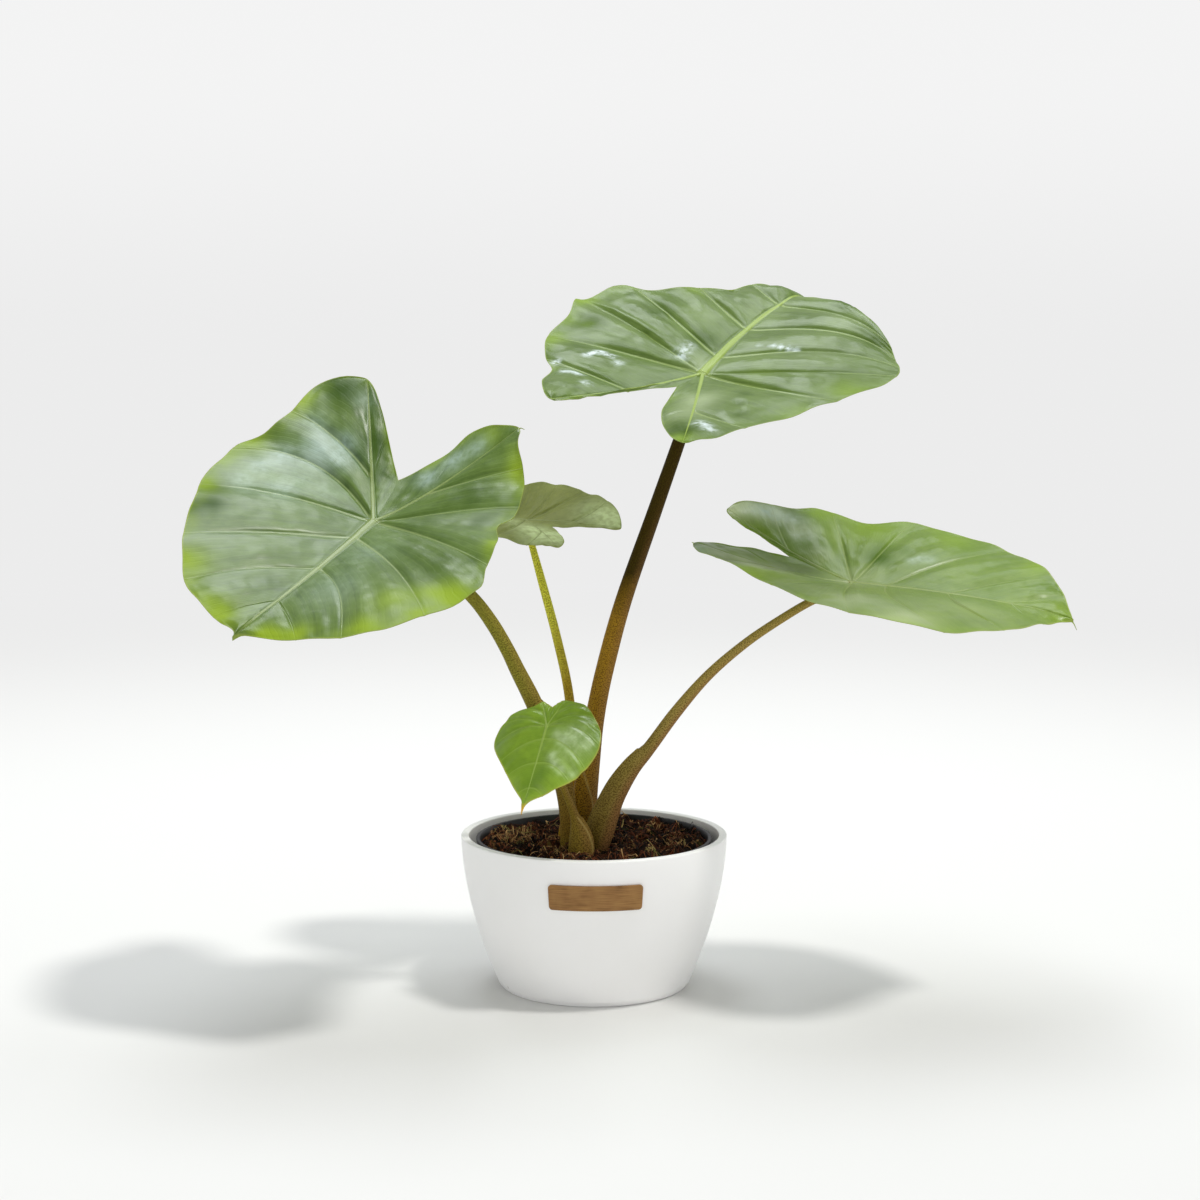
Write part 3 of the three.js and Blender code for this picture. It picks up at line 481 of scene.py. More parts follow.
def blackLiner():
    # thermoformed polypropylene: thin, nearly black, half glossy, with fine draw lines
    material, tree, shader = newMaterial("Polypropylene, thermoformed, black")
    where = addNode(tree, "ShaderNodeTexCoord").outputs["Object"]
    dust = addNode(tree, "ShaderNodeTexNoise", {"Vector": where, "Scale": 60.0, "Detail": 4.0})
    tone = addNode(tree, "ShaderNodeValToRGB", {"Fac": dust}, stops=[
        (0.5, liner["colour"]), (0.85, liner["dustColour"]),
    ])
    # draw lines about 3 mm apart and 30 mm long
    lines = addNode(tree, "ShaderNodeMapping", {"Vector": where, "Scale": (300.0, 300.0, 30.0)})
    drawn = addNode(tree, "ShaderNodeTexNoise", {"Vector": lines, "Scale": 1.0, "Detail": 2.0})
    bump = addNode(tree, "ShaderNodeBump", {"Height": drawn, "Strength": 0.2, "Distance": 0.0002})
    feed(shader, {"Base Color": tone, "Normal": bump, "Roughness": 0.45, "Specular IOR Level": 0.3})
    return material


points, triangles = turnedPiece(linerProfile(), liner["sides"])
makePiece("linerPot", points, triangles, [blackLiner()], "nursery_pot", "nursery_pot")


# Soil: a crumbly top with coir strands and crumbs, in one piece

soil = dict(
    level=92.5, lump=1.7, foot=6.1, columns=300, rings=110, seed=11, gap=0.3,
    strands=2700, knots=60, strandReach=72, strandSteps=8, crumbs=900, crumbReach=70,
    dark="#090503", brown="#22140b", red="#7f4425", husk="#8d683f", tan="#d6ae76", olive="#77733a",
)


def soilHeight(x, y):
    # the level plus a low crown, a rise at the liner and lumps of about 25 mm
    reach = np.hypot(x, y)
    lumps = np.sin(0.19 * x + 1.3 * np.sin(0.11 * y)) * np.cos(0.23 * y + 0.7)
    lumps = lumps + 0.6 * np.sin(0.47 * x - 0.35 * y) + 0.4 * np.cos(0.61 * y + 0.41 * x)
    crown = 0.8 * np.exp(-((reach / 34) ** 2)) + 1.2 * (reach / 75) ** 2
    return soil["level"] + crown + soil["lump"] * 0.5 * lumps


def crumbHeight(x, y):
    # soilHeight with clods of 17 mm, crumbs of 5 mm and grit of 2.4 mm, each a soft noise,
    # all level again at the liner, and a bank just inside it
    places = np.stack([x, y], -1)
    clod = softNoise(places, 17, soil["seed"])
    crumb = np.abs(softNoise(places, 5, soil["seed"] + 1))
    grit = softNoise(places, 2.4, soil["seed"] + 2)
    reach = np.hypot(x, y)
    rim = 1 - easeStep(71.5, 75.5, reach)
    bank = 1.5 * easeStep(52, 68, reach) * rim
    return soilHeight(x, y) + bank + rim * (2.6 * clod + 1.7 * crumb - 1.3 + 0.4 * grit)


def soilBody():
    # a wall that follows the liner's taper from foot to edge, then rings that shrink towards
    # the middle and lie at crumbHeight
    edgeZ = soil["level"] - 3
    turn = np.linspace(0, 2 * np.pi, soil["columns"], endpoint=False)
    sideZ = np.array([soil["foot"], (soil["foot"] + soil["level"]) / 2, edgeZ])[:, None]
    sideR = linerRadius(sideZ) - liner["wall"] - soil["gap"]
    side = np.stack([sideR * np.cos(turn), sideR * np.sin(turn), sideZ + 0 * turn], -1)
    topR = sideR[-1] * np.linspace(1, 0.012, soil["rings"])[:, None]
    x, y = topR * np.cos(turn), topR * np.sin(turn)
    top = np.stack([x, y, crumbHeight(x, y)], -1)
    middle = float(crumbHeight(np.zeros(1), np.zeros(1))[0])
    return closedTube(np.concatenate([side, top]), [[0, 0, soil["foot"]], [0, 0, middle]])


def spreadOver(one, size, count):
    # the triangles of one small body of so many points, repeated for every copy
    return (one[None] + (np.arange(count) * size)[:, None, None]).reshape(-1, 3)


def coirStrands(random, count):
    # each strand is a three-sided thread of eight rings: an arch over the soil that also
    # curls sideways, thick in the middle and fine at both ends. Two in three start near one
    # of the knots, so that they lie in tufts
    knots, reach, steps = soil["knots"], soil["strandReach"], soil["strandSteps"]
    place = random.normal(size=(knots, 2)) * 34
    pick = random.integers(0, knots, count)
    tuft = place[pick] + random.normal(size=(count, 2)) * 5
    turn = random.uniform(0, 2 * np.pi, count)
    away = reach * np.sqrt(random.uniform(0.02, 1, count))
    loose = np.stack([away * np.cos(turn), away * np.sin(turn)], 1)
    centre = np.where((random.uniform(size=count) < 0.66)[:, None], tuft, loose)
    centre *= np.minimum(1, reach / np.maximum(np.linalg.norm(centre, axis=1), 1))[:, None]
    heading = random.uniform(0, 2 * np.pi, knots)[pick] + random.normal(size=count) * 0.8
    length = random.uniform(9, 34, count) * random.uniform(0.4, 1, count)
    curl = random.normal(size=count) * 1.5
    lift = random.uniform(0.4, 4.2, count) * random.uniform(0.3, 1, count)
    thick = random.uniform(0.12, 0.34, count)
    share = np.linspace(-0.5, 0.5, steps)[None]
    bend = heading[:, None] + curl[:, None] * share
    x = centre[:, :1] + length[:, None] * share * np.cos(bend)
    y = centre[:, 1:] + length[:, None] * share * np.sin(bend)
    inside = np.minimum(1, (reach + 3) / np.maximum(np.hypot(x, y), 1))
    x, y = x * inside, y * inside
    z = crumbHeight(x, y) + 0.1 + lift[:, None] * (1 - (share * 2.2) ** 2)
    size = thick[:, None] * (1.12 - (share * 2) ** 2)
    angle = (np.arange(3) * 2 * np.pi / 3 + 0.5)[None, None]
    side = size[..., None] * np.cos(angle)
    points = np.stack([
        x[..., None] - side * np.sin(bend)[..., None],
        y[..., None] + side * np.cos(bend)[..., None],
        z[..., None] + size[..., None] * np.sin(angle),
    ], -1)
    index = np.arange(3 * steps).reshape(steps, 3)
    ends = [[0, 2, 1], index[-1].tolist()]
    one = np.concatenate([gridTriangles(index, closed=True), ends])[:, ::-1]
    tone = np.clip(random.uniform(0, 1, knots)[pick] ** 1.6 * 0.65 + random.uniform(0, 0.45, count), 0, 1)
    return points.reshape(-1, 3), spreadOver(one, index.size, count), np.repeat(tone, index.size)


def bark(random, count):
    # small chips: an eight-sided gem of six corners, squashed, turned and set in the top
    turn = random.uniform(0, 2 * np.pi, count)
    reach = soil["crumbReach"] * np.sqrt(random.uniform(0.02, 1, count))
    size = random.uniform(0.7, 2.6, (count, 1)) * random.uniform(0.5, 1.0, (count, 3))
    corners = np.array([[1, 0, 0], [-1, 0, 0], [0, 1, 0], [0, -1, 0], [0, 0, 1], [0, 0, -1]], float)
    gem = corners[None] * size[:, None] * random.uniform(0.75, 1.25, (count, 6, 1))
    spin, tip = random.uniform(0, 2 * np.pi, count), random.uniform(-0.8, 0.8, count)
    gx = gem[..., 0] * np.cos(spin)[:, None] - gem[..., 1] * np.sin(spin)[:, None]
    gy = gem[..., 0] * np.sin(spin)[:, None] + gem[..., 1] * np.cos(spin)[:, None]
    gz = gem[..., 2] * np.cos(tip)[:, None] + gx * np.sin(tip)[:, None]
    x, y = reach * np.cos(turn), reach * np.sin(turn)
    z = crumbHeight(x, y) + 0.1
    points = np.stack([gx + x[:, None], gy + y[:, None], gz + z[:, None]], -1)
    one = np.array([[0, 2, 4], [2, 1, 4], [1, 3, 4], [3, 0, 4], [2, 0, 5], [1, 2, 5], [3, 1, 5], [0, 3, 5]])
    tone = random.uniform(0, 1, count) * 0.75
    return points.reshape(-1, 3), spreadOver(one, len(corners), count), np.repeat(tone, len(corners))


def pottingMix():
    # peat and bark, moist: the fine noise that raises the bump also sets the tone, so the
    # hollows are almost black, partly the wet peat's own and partly painted shade, and the
    # crumbs brown; with reddish and olive patches about 20 mm wide
    material, tree, shader = newMaterial("Peat and bark, loose potting mix")
    where = addNode(tree, "ShaderNodeTexCoord").outputs["Object"]
    fine = addNode(tree, "ShaderNodeTexNoise", {
        "Vector": where, "Scale": 420.0, "Detail": 6.0, "Roughness": 0.7,
    })
    colour = addNode(tree, "ShaderNodeValToRGB", {"Fac": fine}, stops=[
        (0.4, soil["dark"]), (0.62, soil["brown"]), (0.8, soil["red"]),
    ])
    for scale, starts, fills, most, tone in ((45.0, 0.52, 0.66, 0.55, "red"), (62.0, 0.6, 0.7, 0.5, "olive")):
        patch = addNode(tree, "ShaderNodeTexNoise", {"Vector": where, "Scale": scale, "Detail": 2.0})
        share = addNode(tree, "ShaderNodeMapRange", {
            "Value": patch, "From Min": starts, "From Max": fills, "To Max": most,
        })
        colour = addNode(tree, "ShaderNodeMix", {
            "Factor": share, "A": colour, "B": soil[tone],
        }, data_type="RGBA")
    bump = addNode(tree, "ShaderNodeBump", {"Height": fine, "Strength": 0.9, "Distance": 0.0012})
    feed(shader, {"Base Color": colour, "Normal": bump, "Roughness": 0.92, "Specular IOR Level": 0.1})
    return material


def fibre():
    # coconut fibre, teased out: each strand has its own tone from dark red-brown to straw
    material, tree, shader = newMaterial("Coconut fibre, teased, dry")
    own = addNode(tree, "ShaderNodeAttribute", attribute_name="tone").outputs["Fac"]
    tone = addNode(tree, "ShaderNodeValToRGB", {"Fac": own}, stops=[
        (0.0, soil["dark"]), (0.35, soil["brown"]), (0.6, soil["red"]),
        (0.74, soil["husk"]), (0.86, soil["tan"]), (1.0, soil["olive"]),
    ])
    feed(shader, {"Base Color": tone, "Roughness": 0.75, "Specular IOR Level": 0.15})
    return material


soilRandom = np.random.default_rng(soil["seed"])
ground = soilBody()
loose = [coirStrands(soilRandom, soil["strands"]), bark(soilRandom, soil["crumbs"])]
points, triangles = joinBodies([ground, *loose])
tones = np.concatenate([np.zeros(len(ground[0]))] + [part[2] for part in loose])
faceKind = (np.arange(len(triangles)) >= len(ground[1])).astype(int)
makePiece("pottingSoil", points, triangles, [pottingMix(), fibre()], "soil", "soil",
          faceMaterial=faceKind, fields={"tone": tones})


# Corm: the rootstock inside the soil, with its thick roots

corm = dict(
    x=-10, y=-7, top=79.7, radius=23, height=30, scarPitch=2.6, scarDepth=0.018,
    roots=5, rootRadius=1.9, rootReach=36, rootSides=12, sides=72, colour="#6b5335", darkColour="#3d2b1a",
)


def cormBody():
    # a stout turned bulb whose skin has leaf-scar rings and soft dents; its top is flat. Its
    # profile rows are [share of the way, radius, height], in shares of the corm's own
    foot = corm["top"] - corm["height"]
    profile = [[0, 0, 0.04], [0.08, 0.3, 0.03], [0.2, 0.72, 0.2], [0.5, 0.92, 0.48], [0.8, 1, 0.76]]
    profile += [[0.95, 0.96, 0.93], [1.0, 0.88, 1]]
    curve = hermite(profile, np.linspace(0, 1, 46))
    radius, height = corm["radius"] * curve[:, 0], foot + corm["height"] * np.clip(curve[:, 1], 0, 1)
    radius = radius * (1 - corm["scarDepth"] * np.abs(np.sin(height / corm["scarPitch"] * np.pi)))
    radius[0] = 0
    points, triangles = turnedPiece(np.stack([radius, height], 1), corm["sides"])
    dent = 1 + 0.025 * softNoise(points, 14, 5)
    level = easeStep(corm["top"] - 3, corm["top"], points[:, 2])
    dent = dent * (1 - level) + level * 0.99
    return points * np.stack([dent, dent, np.ones(len(dent))], 1) + [corm["x"], corm["y"], 0], triangles


def tubePiece(centres, radii, sides):
    # a round section carried along a path: the frame at each step leans on one fixed
    # direction, and the ends close in a shallow dome
    along = unit(np.gradient(centres, axis=0))
    lean = np.array([0.31, -0.17, 0.93]) if abs(along[:, 2]).mean() < 0.8 else np.array([1.0, 0.2, 0.1])
    across = unit(np.cross(along, lean))
    upward = np.cross(along, across)
    turn = np.linspace(0, 2 * np.pi, sides, endpoint=False)[None, :, None]
    spokes = across[:, None] * np.cos(turn) + upward[:, None] * np.sin(turn)
    rings = centres[:, None] + radii[:, None, None] * spokes
    poles = [centres[0] - along[0] * radii[0] * 0.5, centres[-1] + along[-1] * radii[-1] * 0.5]
    return closedTube(rings, poles)


def rootPath(index, steps=26):
    # a root leaves the corm's side, sinks as it runs out and wavers sideways
    share = np.linspace(0.4, 1.9, steps)
    bend = 2 * np.pi * index / corm["roots"] + 0.7 + 0.25 * np.sin(2.1 * share + index)
    reach = corm["radius"] * 0.4 + corm["rootReach"] * (share - 0.4) / 1.5
    z = corm["top"] - corm["height"] * (0.45 + 0.62 * (share - 0.4) ** 1.3)
    centres = np.stack([corm["x"] + reach * np.cos(bend), corm["y"] + reach * np.sin(bend), z], 1)
    return centres, corm["rootRadius"] * (1 - 0.25 * (share - 0.4) / 1.5)


def cormSkin():
    # living corm, papery brown skin over pale flesh, ringed by old leaf scars
    material, tree, shader = newMaterial("Corm skin, papery, ringed")
    where = addNode(tree, "ShaderNodeTexCoord").outputs["Object"]
    # rings about 1 mm high, broken every 17 mm
    bands = addNode(tree, "ShaderNodeMapping", {"Vector": where, "Scale": (60.0, 60.0, 900.0)})
    band = addNode(tree, "ShaderNodeTexNoise", {"Vector": bands, "Scale": 1.0, "Detail": 4.0})
    tone = addNode(tree, "ShaderNodeValToRGB", {"Fac": band}, stops=[
        (0.35, corm["darkColour"]), (0.65, corm["colour"]),
    ])
    bump = addNode(tree, "ShaderNodeBump", {"Height": band, "Strength": 0.6, "Distance": 0.0008})
    feed(shader, {"Base Color": tone, "Normal": bump, "Roughness": 0.8})
    return material


roots = [tubePiece(*rootPath(i), corm["rootSides"]) for i in range(corm["roots"])]
makePiece("rootstock", *joinBodies([cormBody(), *roots]), [cormSkin()], "corm", "corm")


# Leaves. An edge row is [place, along, across]: place 4 is the tip, -3 is the basal lobe's
# tip and -5 the bottom of the notch. A blade's lines are numbered by station in the same
# way, and the side veins are lines 3 to -2. The ends give the places on the edge where
# those six reach it, and the bows how far each bends aside, as shares of its length. A
# patch is [along, across, size, amount] of yellow-green, partly the blade's own paler green
# and partly painted light shining through its thin margin; a film the same of painted soft
# sheen, a smooth pale tone; a bloom of painted sheen and glints, silvery; a shade of deep
# green with little wax, partly the tissue's own darker green and partly painted shade in
# vein furrows and on blisters; and a blister is [along, across, size, height]. A crease is
# [half, station, depth, reach] and deepens one vein's groove, and a thread is [half,
# station, route], the dried point at that place on the edge; half is 1 on the left and -1
# on the right. A stem's path and girth run up from the soil, with its heights in
# millimetres; turnsAt gives in metres where its tone turns, and ruddy how strongly it is
# tinted pinkish red on the side towards the key light, partly its own tinge and partly
# painted highlight.

tipStation, lobeStation, notchStation = 4, -3, -5
veinStations = (3, 2, 1, 0, -1, -2)
veinRoots = [[0, 0], [1, 0.15], [2, 0.43], [3, 0.71], [4, 1]]
spotRows = dict(freshAndLitThrough="patches", paintedSoftSheen="paintedSoftSheens", paintedSheen="paintedSheens", shade="shades")

plainLeaf = dict(
    midBow=0, leftEnds=veinStations, rightEnds=veinStations, veinShow=(1,) * 6, plainTip=False, lobeRoot=0.5,
    blisters=[], creases=[], threads=[], patches=[], paintedSoftSheens=[], paintedSheens=[], shades=[],
    paintedSoftSheenTone="#a9b890", paintedSheenCut=(0.35, 0.62, 0.55), tipTone=None, bladeSlot="blade", stemSlot="stem",
)

leafLeft = dict(
    plainLeaf, seat=(-140, -45, 312), forward=(-0.434, -0.807, -0.401), face=(-0.026, -0.433, 0.901),
    length=148, halfWidth=110, lobeLength=110, crease=12, foldLeft=0.198, foldRight=0.29,
    roll=0.021, droop=0.02, lobeLift=0.359, tipCurl=0.004, quilt=2.0, wave=2.2, wavePhase=0.3,
    leftEnds=(3.45, 2.87, 1.93, 0.42, -1.19, -2), rightEnds=(3.45, 2.48, 1.46, 0.1, -0.86, -2),
    leftBow=(0.05, 0.12, 0.06, 0.04, 0.03, 0.03), rightBow=(0.05, 0.05, 0.04, 0.06, 0.19, 0.09),
    veinShow=(0.1, 0.9, 1, 1, 1, 1), plainTip=True, lobeRoot=0.36,
    patches=[
        [68, -97, 5, 0.7], [106, -66, 13, 0.85], [136, -28, 13, 1.0], [138, 8, 10, 0.9], [122, 68, 12, 0.75],
        [92, 70, 14, 0.65], [104, 92, 10, 0.8], [78, 100, 13, 1.0], [-54, 76, 10, 0.6], [-64, -90, 7, 0.4],
        [19, 102, 9, 0.7], [-20, -98, 9, 0.5], [-78, 44, 9, 0.4], [40, -100, 9, 0.5], [30, -104, 8, 0.5],
        [76, 85, 9, 0.5], [132, 26, 8, 0.6],
    ],
    shades=[
        [53, -84, 10, 0.9], [-61, -28, 13, 0.9], [-43, -14, 9, 0.5], [-82, -40, 9, 0.6], [-82, -68, 12, 0.9],
        [-9, 73, 9, 0.6], [45, 76, 12, 0.45], [-30, 58, 12, 0.35], [38, 97, 8, 0.5], [-74, 50, 10, 0.35],
        [35, -96, 8, 0.6], [60, 40, 12, 0.2], [20, -20, 9, 0.2], [66, -92, 8, 0.65], [128, -24, 5, 0.4],
        # the small shades of 3.5 and 4 mm lie in the furrows of veins -1 and -2: painted shade
        [-20, -32, 3.5, 0.7], [-23, -46, 3.5, 0.6], [-34, -20, 6, 0.4], [66, -26, 14, 0.15],
        [-44, -36, 4, 0.7], [-50, -48, 4, 0.7], [-53, -60, 4, 0.6], [-94, -48, 8, 0.5],
    ],
    paintedSheens=[
        [-2, -84, 8, 0.45], [-7, -58, 12, 0.22], [-7, -36, 10, 0.2], [-20, -78, 9, 0.4], [-34, -60, 12, 0.5],
        [-36, -44, 10, 0.45], [-50, -48, 7, 0.4], [-53, -72, 7, 0.35], [11, -61, 12, 0.35], [16, -86, 8, 0.3],
        [-45, 15, 8, 0.6], [-60, 27, 8, 0.6], [-72, 38, 7, 0.5], [26, -78, 9, 0.15], [-82, -52, 7, 0.25],
        [40, 20, 18, 0.2], [80, 20, 18, 0.2],
    ],
    paintedSoftSheens=[
        [-30, -58, 10, 0.45], [-12, -78, 8, 0.35], [-44, -62, 8, 0.4], [94, 26, 18, 0.18],
    ],
    paintedSoftSheenTone="#b2c2b6", paintedSheenTone="#a7bdb4",
    leftEdge=[
        [4, 147, -10], [3.88, 141, -5], [3.6, 139, 20], [3, 135, 51], [2.4, 127, 80], [2, 106, 94],
        [1.5, 84, 109], [1, 68, 115], [0.5, 48, 108], [0, 30, 104], [-0.5, 10, 96], [-0.8, -6, 87],
        [-1, -16, 93], [-1.5, -40, 88], [-2, -57, 79], [-2.5, -72, 68], [-3, -87, 61],
        [-3.3, -89, 46], [-3.8, -85, 30], [-4.4, -66, 18], [-5, -40, -4],
    ],
    rightEdge=[
        [4, 147, -10], [3.88, 141, -13], [3.6, 140, -23], [3, 132, -44], [2.5, 121, -60],
        [2, 104, -72], [1.5, 88, -82], [1, 69, -90], [0.5, 50, -97], [0, 32, -106], [-0.5, 6, -108],
        [-1, -14, -107], [-1.4, -31, -96], [-2, -52, -90], [-2.5, -78, -87], [-2.8, -91, -74],
        [-3, -96, -57], [-3.6, -82, -39], [-4.3, -58, -19], [-5, -40, -4],
    ],
    rib=3.0, costa=1.4, vein=0.9, groove=0.9, streak=0.32, crumple=0.26, streaky=0.58, deep="#314b0c",
    creases=[(-1, -1, 1.7, 0.95), (-1, -2, 1.5, 0.95), (-1, 0, 0.15, 0.9), (1, -1, 0.5, 0.8)],
    threads=[(1, -3, [[0, 0, 0], [2.5, 0, 1.2], [5, 0, 0.2]])],
    gloss=0.86, glossBlur=0.3, veinMix=0.5, ribMix=0.6,
    dark="#4a6420", mid="#617a32", margin="#88a12a", marginWide=14, marginAmount=0.5,
    veinTone="#93a368", ribTone="#8b9c58", edgeTone="#8a9a3c", under="#7f9557",
    stem=dict(
        path=[
            [-18, -4, 80], [-17, -5, 92], [-16.8, -7, 109], [-19.3, -9, 130], [-26.8, -14, 160],
            [-39.7, -22, 193], [-49.1, -27, 213], [-56.3, -30, 228.5], [-66.1, -33, 246],
            [-78.3, -36, 262.5], [-101, -36, 282], [-126, -35, 296],
        ],
        girth=[
            [80, 6], [109, 5.6], [160, 5.7], [193, 5.5], [213, 5], [228, 4.6], [246, 4.4],
            [262, 4.1], [310, 3.4],
        ],
        sheathTop=192, opensTo=(1, 0.3, 0), low="#8b6d2a", high="#948f35", speck="#43340f",
        turnsAt=(0.11, 0.27), ruddy=0.25,
    ),
)

leafRear = dict(
    plainLeaf, seat=(-47, 60, 305), forward=(-0.834, 0.548, 0.061), face=(-0.029, -0.155, 0.987),
    length=82, halfWidth=68, lobeLength=66, crease=8, foldLeft=0.083, foldRight=0.326,
    roll=0.061, droop=0.05, lobeLift=-0.209, tipCurl=0.006, quilt=1.2, wave=1.3, wavePhase=1.4,
    leftBow=(0.05,) * 6, rightBow=(0.05,) * 6, stemSlot="pale_stem",
    paintedSheens=[
        [-44, -30, 17, 0.8], [-55, -31, 12, 0.7], [-34, 28, 15, 0.9], [-38, 12, 11, 0.8], [-17, 18, 12, 0.8],
        [5, 12, 10, 0.6],
    ],
    paintedSheenTone="#c8d79c",
    leftEdge=[
        [4, 82, 0], [3, 68, 25], [2, 52, 41], [1, 34, 49], [0, 12, 53], [-1, -11, 52],
        [-2, -33, 45], [-2.6, -43, 41], [-3, -49, 32], [-3.6, -45, 19], [-4.3, -34, 8], [-5, -22, 0],
    ],
    rightEdge=[
        [4, 82, 0], [3, 70, -23], [2, 52, -39], [1, 32, -49], [0, 11, -54], [-1, -13, -53],
        [-2, -36, -47], [-2.6, -48, -42], [-3, -60, -27], [-3.6, -48, -20], [-4.3, -34, -9],
        [-5, -22, 0],
    ],
    rib=1.4, costa=0.9, vein=0.6, groove=0.8, streak=0.35, crumple=0.25,
    streaky=0.35, deep="#565f2a",
    gloss=0.05, glossBlur=0.3, veinMix=0.5, ribMix=0.7,
    dark="#6d7534", mid="#858b47", margin="#98a45c", marginWide=12, marginAmount=0.4,
    veinTone="#6c7440", ribTone="#8f9863", edgeTone="#8d964f", under="#9aa873",
    stem=dict(
        path=[
            [-21.6, 14, 80], [-20.6, 17.4, 93], [-16.5, 23, 120], [-14.2, 28, 152],
            [-17.3, 33, 190.5], [-25.1, 40, 226], [-36.4, 51, 267], [-42.4, 57, 288],
        ],
        girth=[[80, 4], [152, 3.5], [190, 3.15], [245, 2.9], [267, 2.7], [288, 2.3], [305, 2.2]],
        sheathTop=160, opensTo=(0.4, -1, 0), low="#a8791f", high="#ecea52", speck="#5a4014",
        turnsAt=(0.17, 0.27), ruddy=0.1,
    ),
)

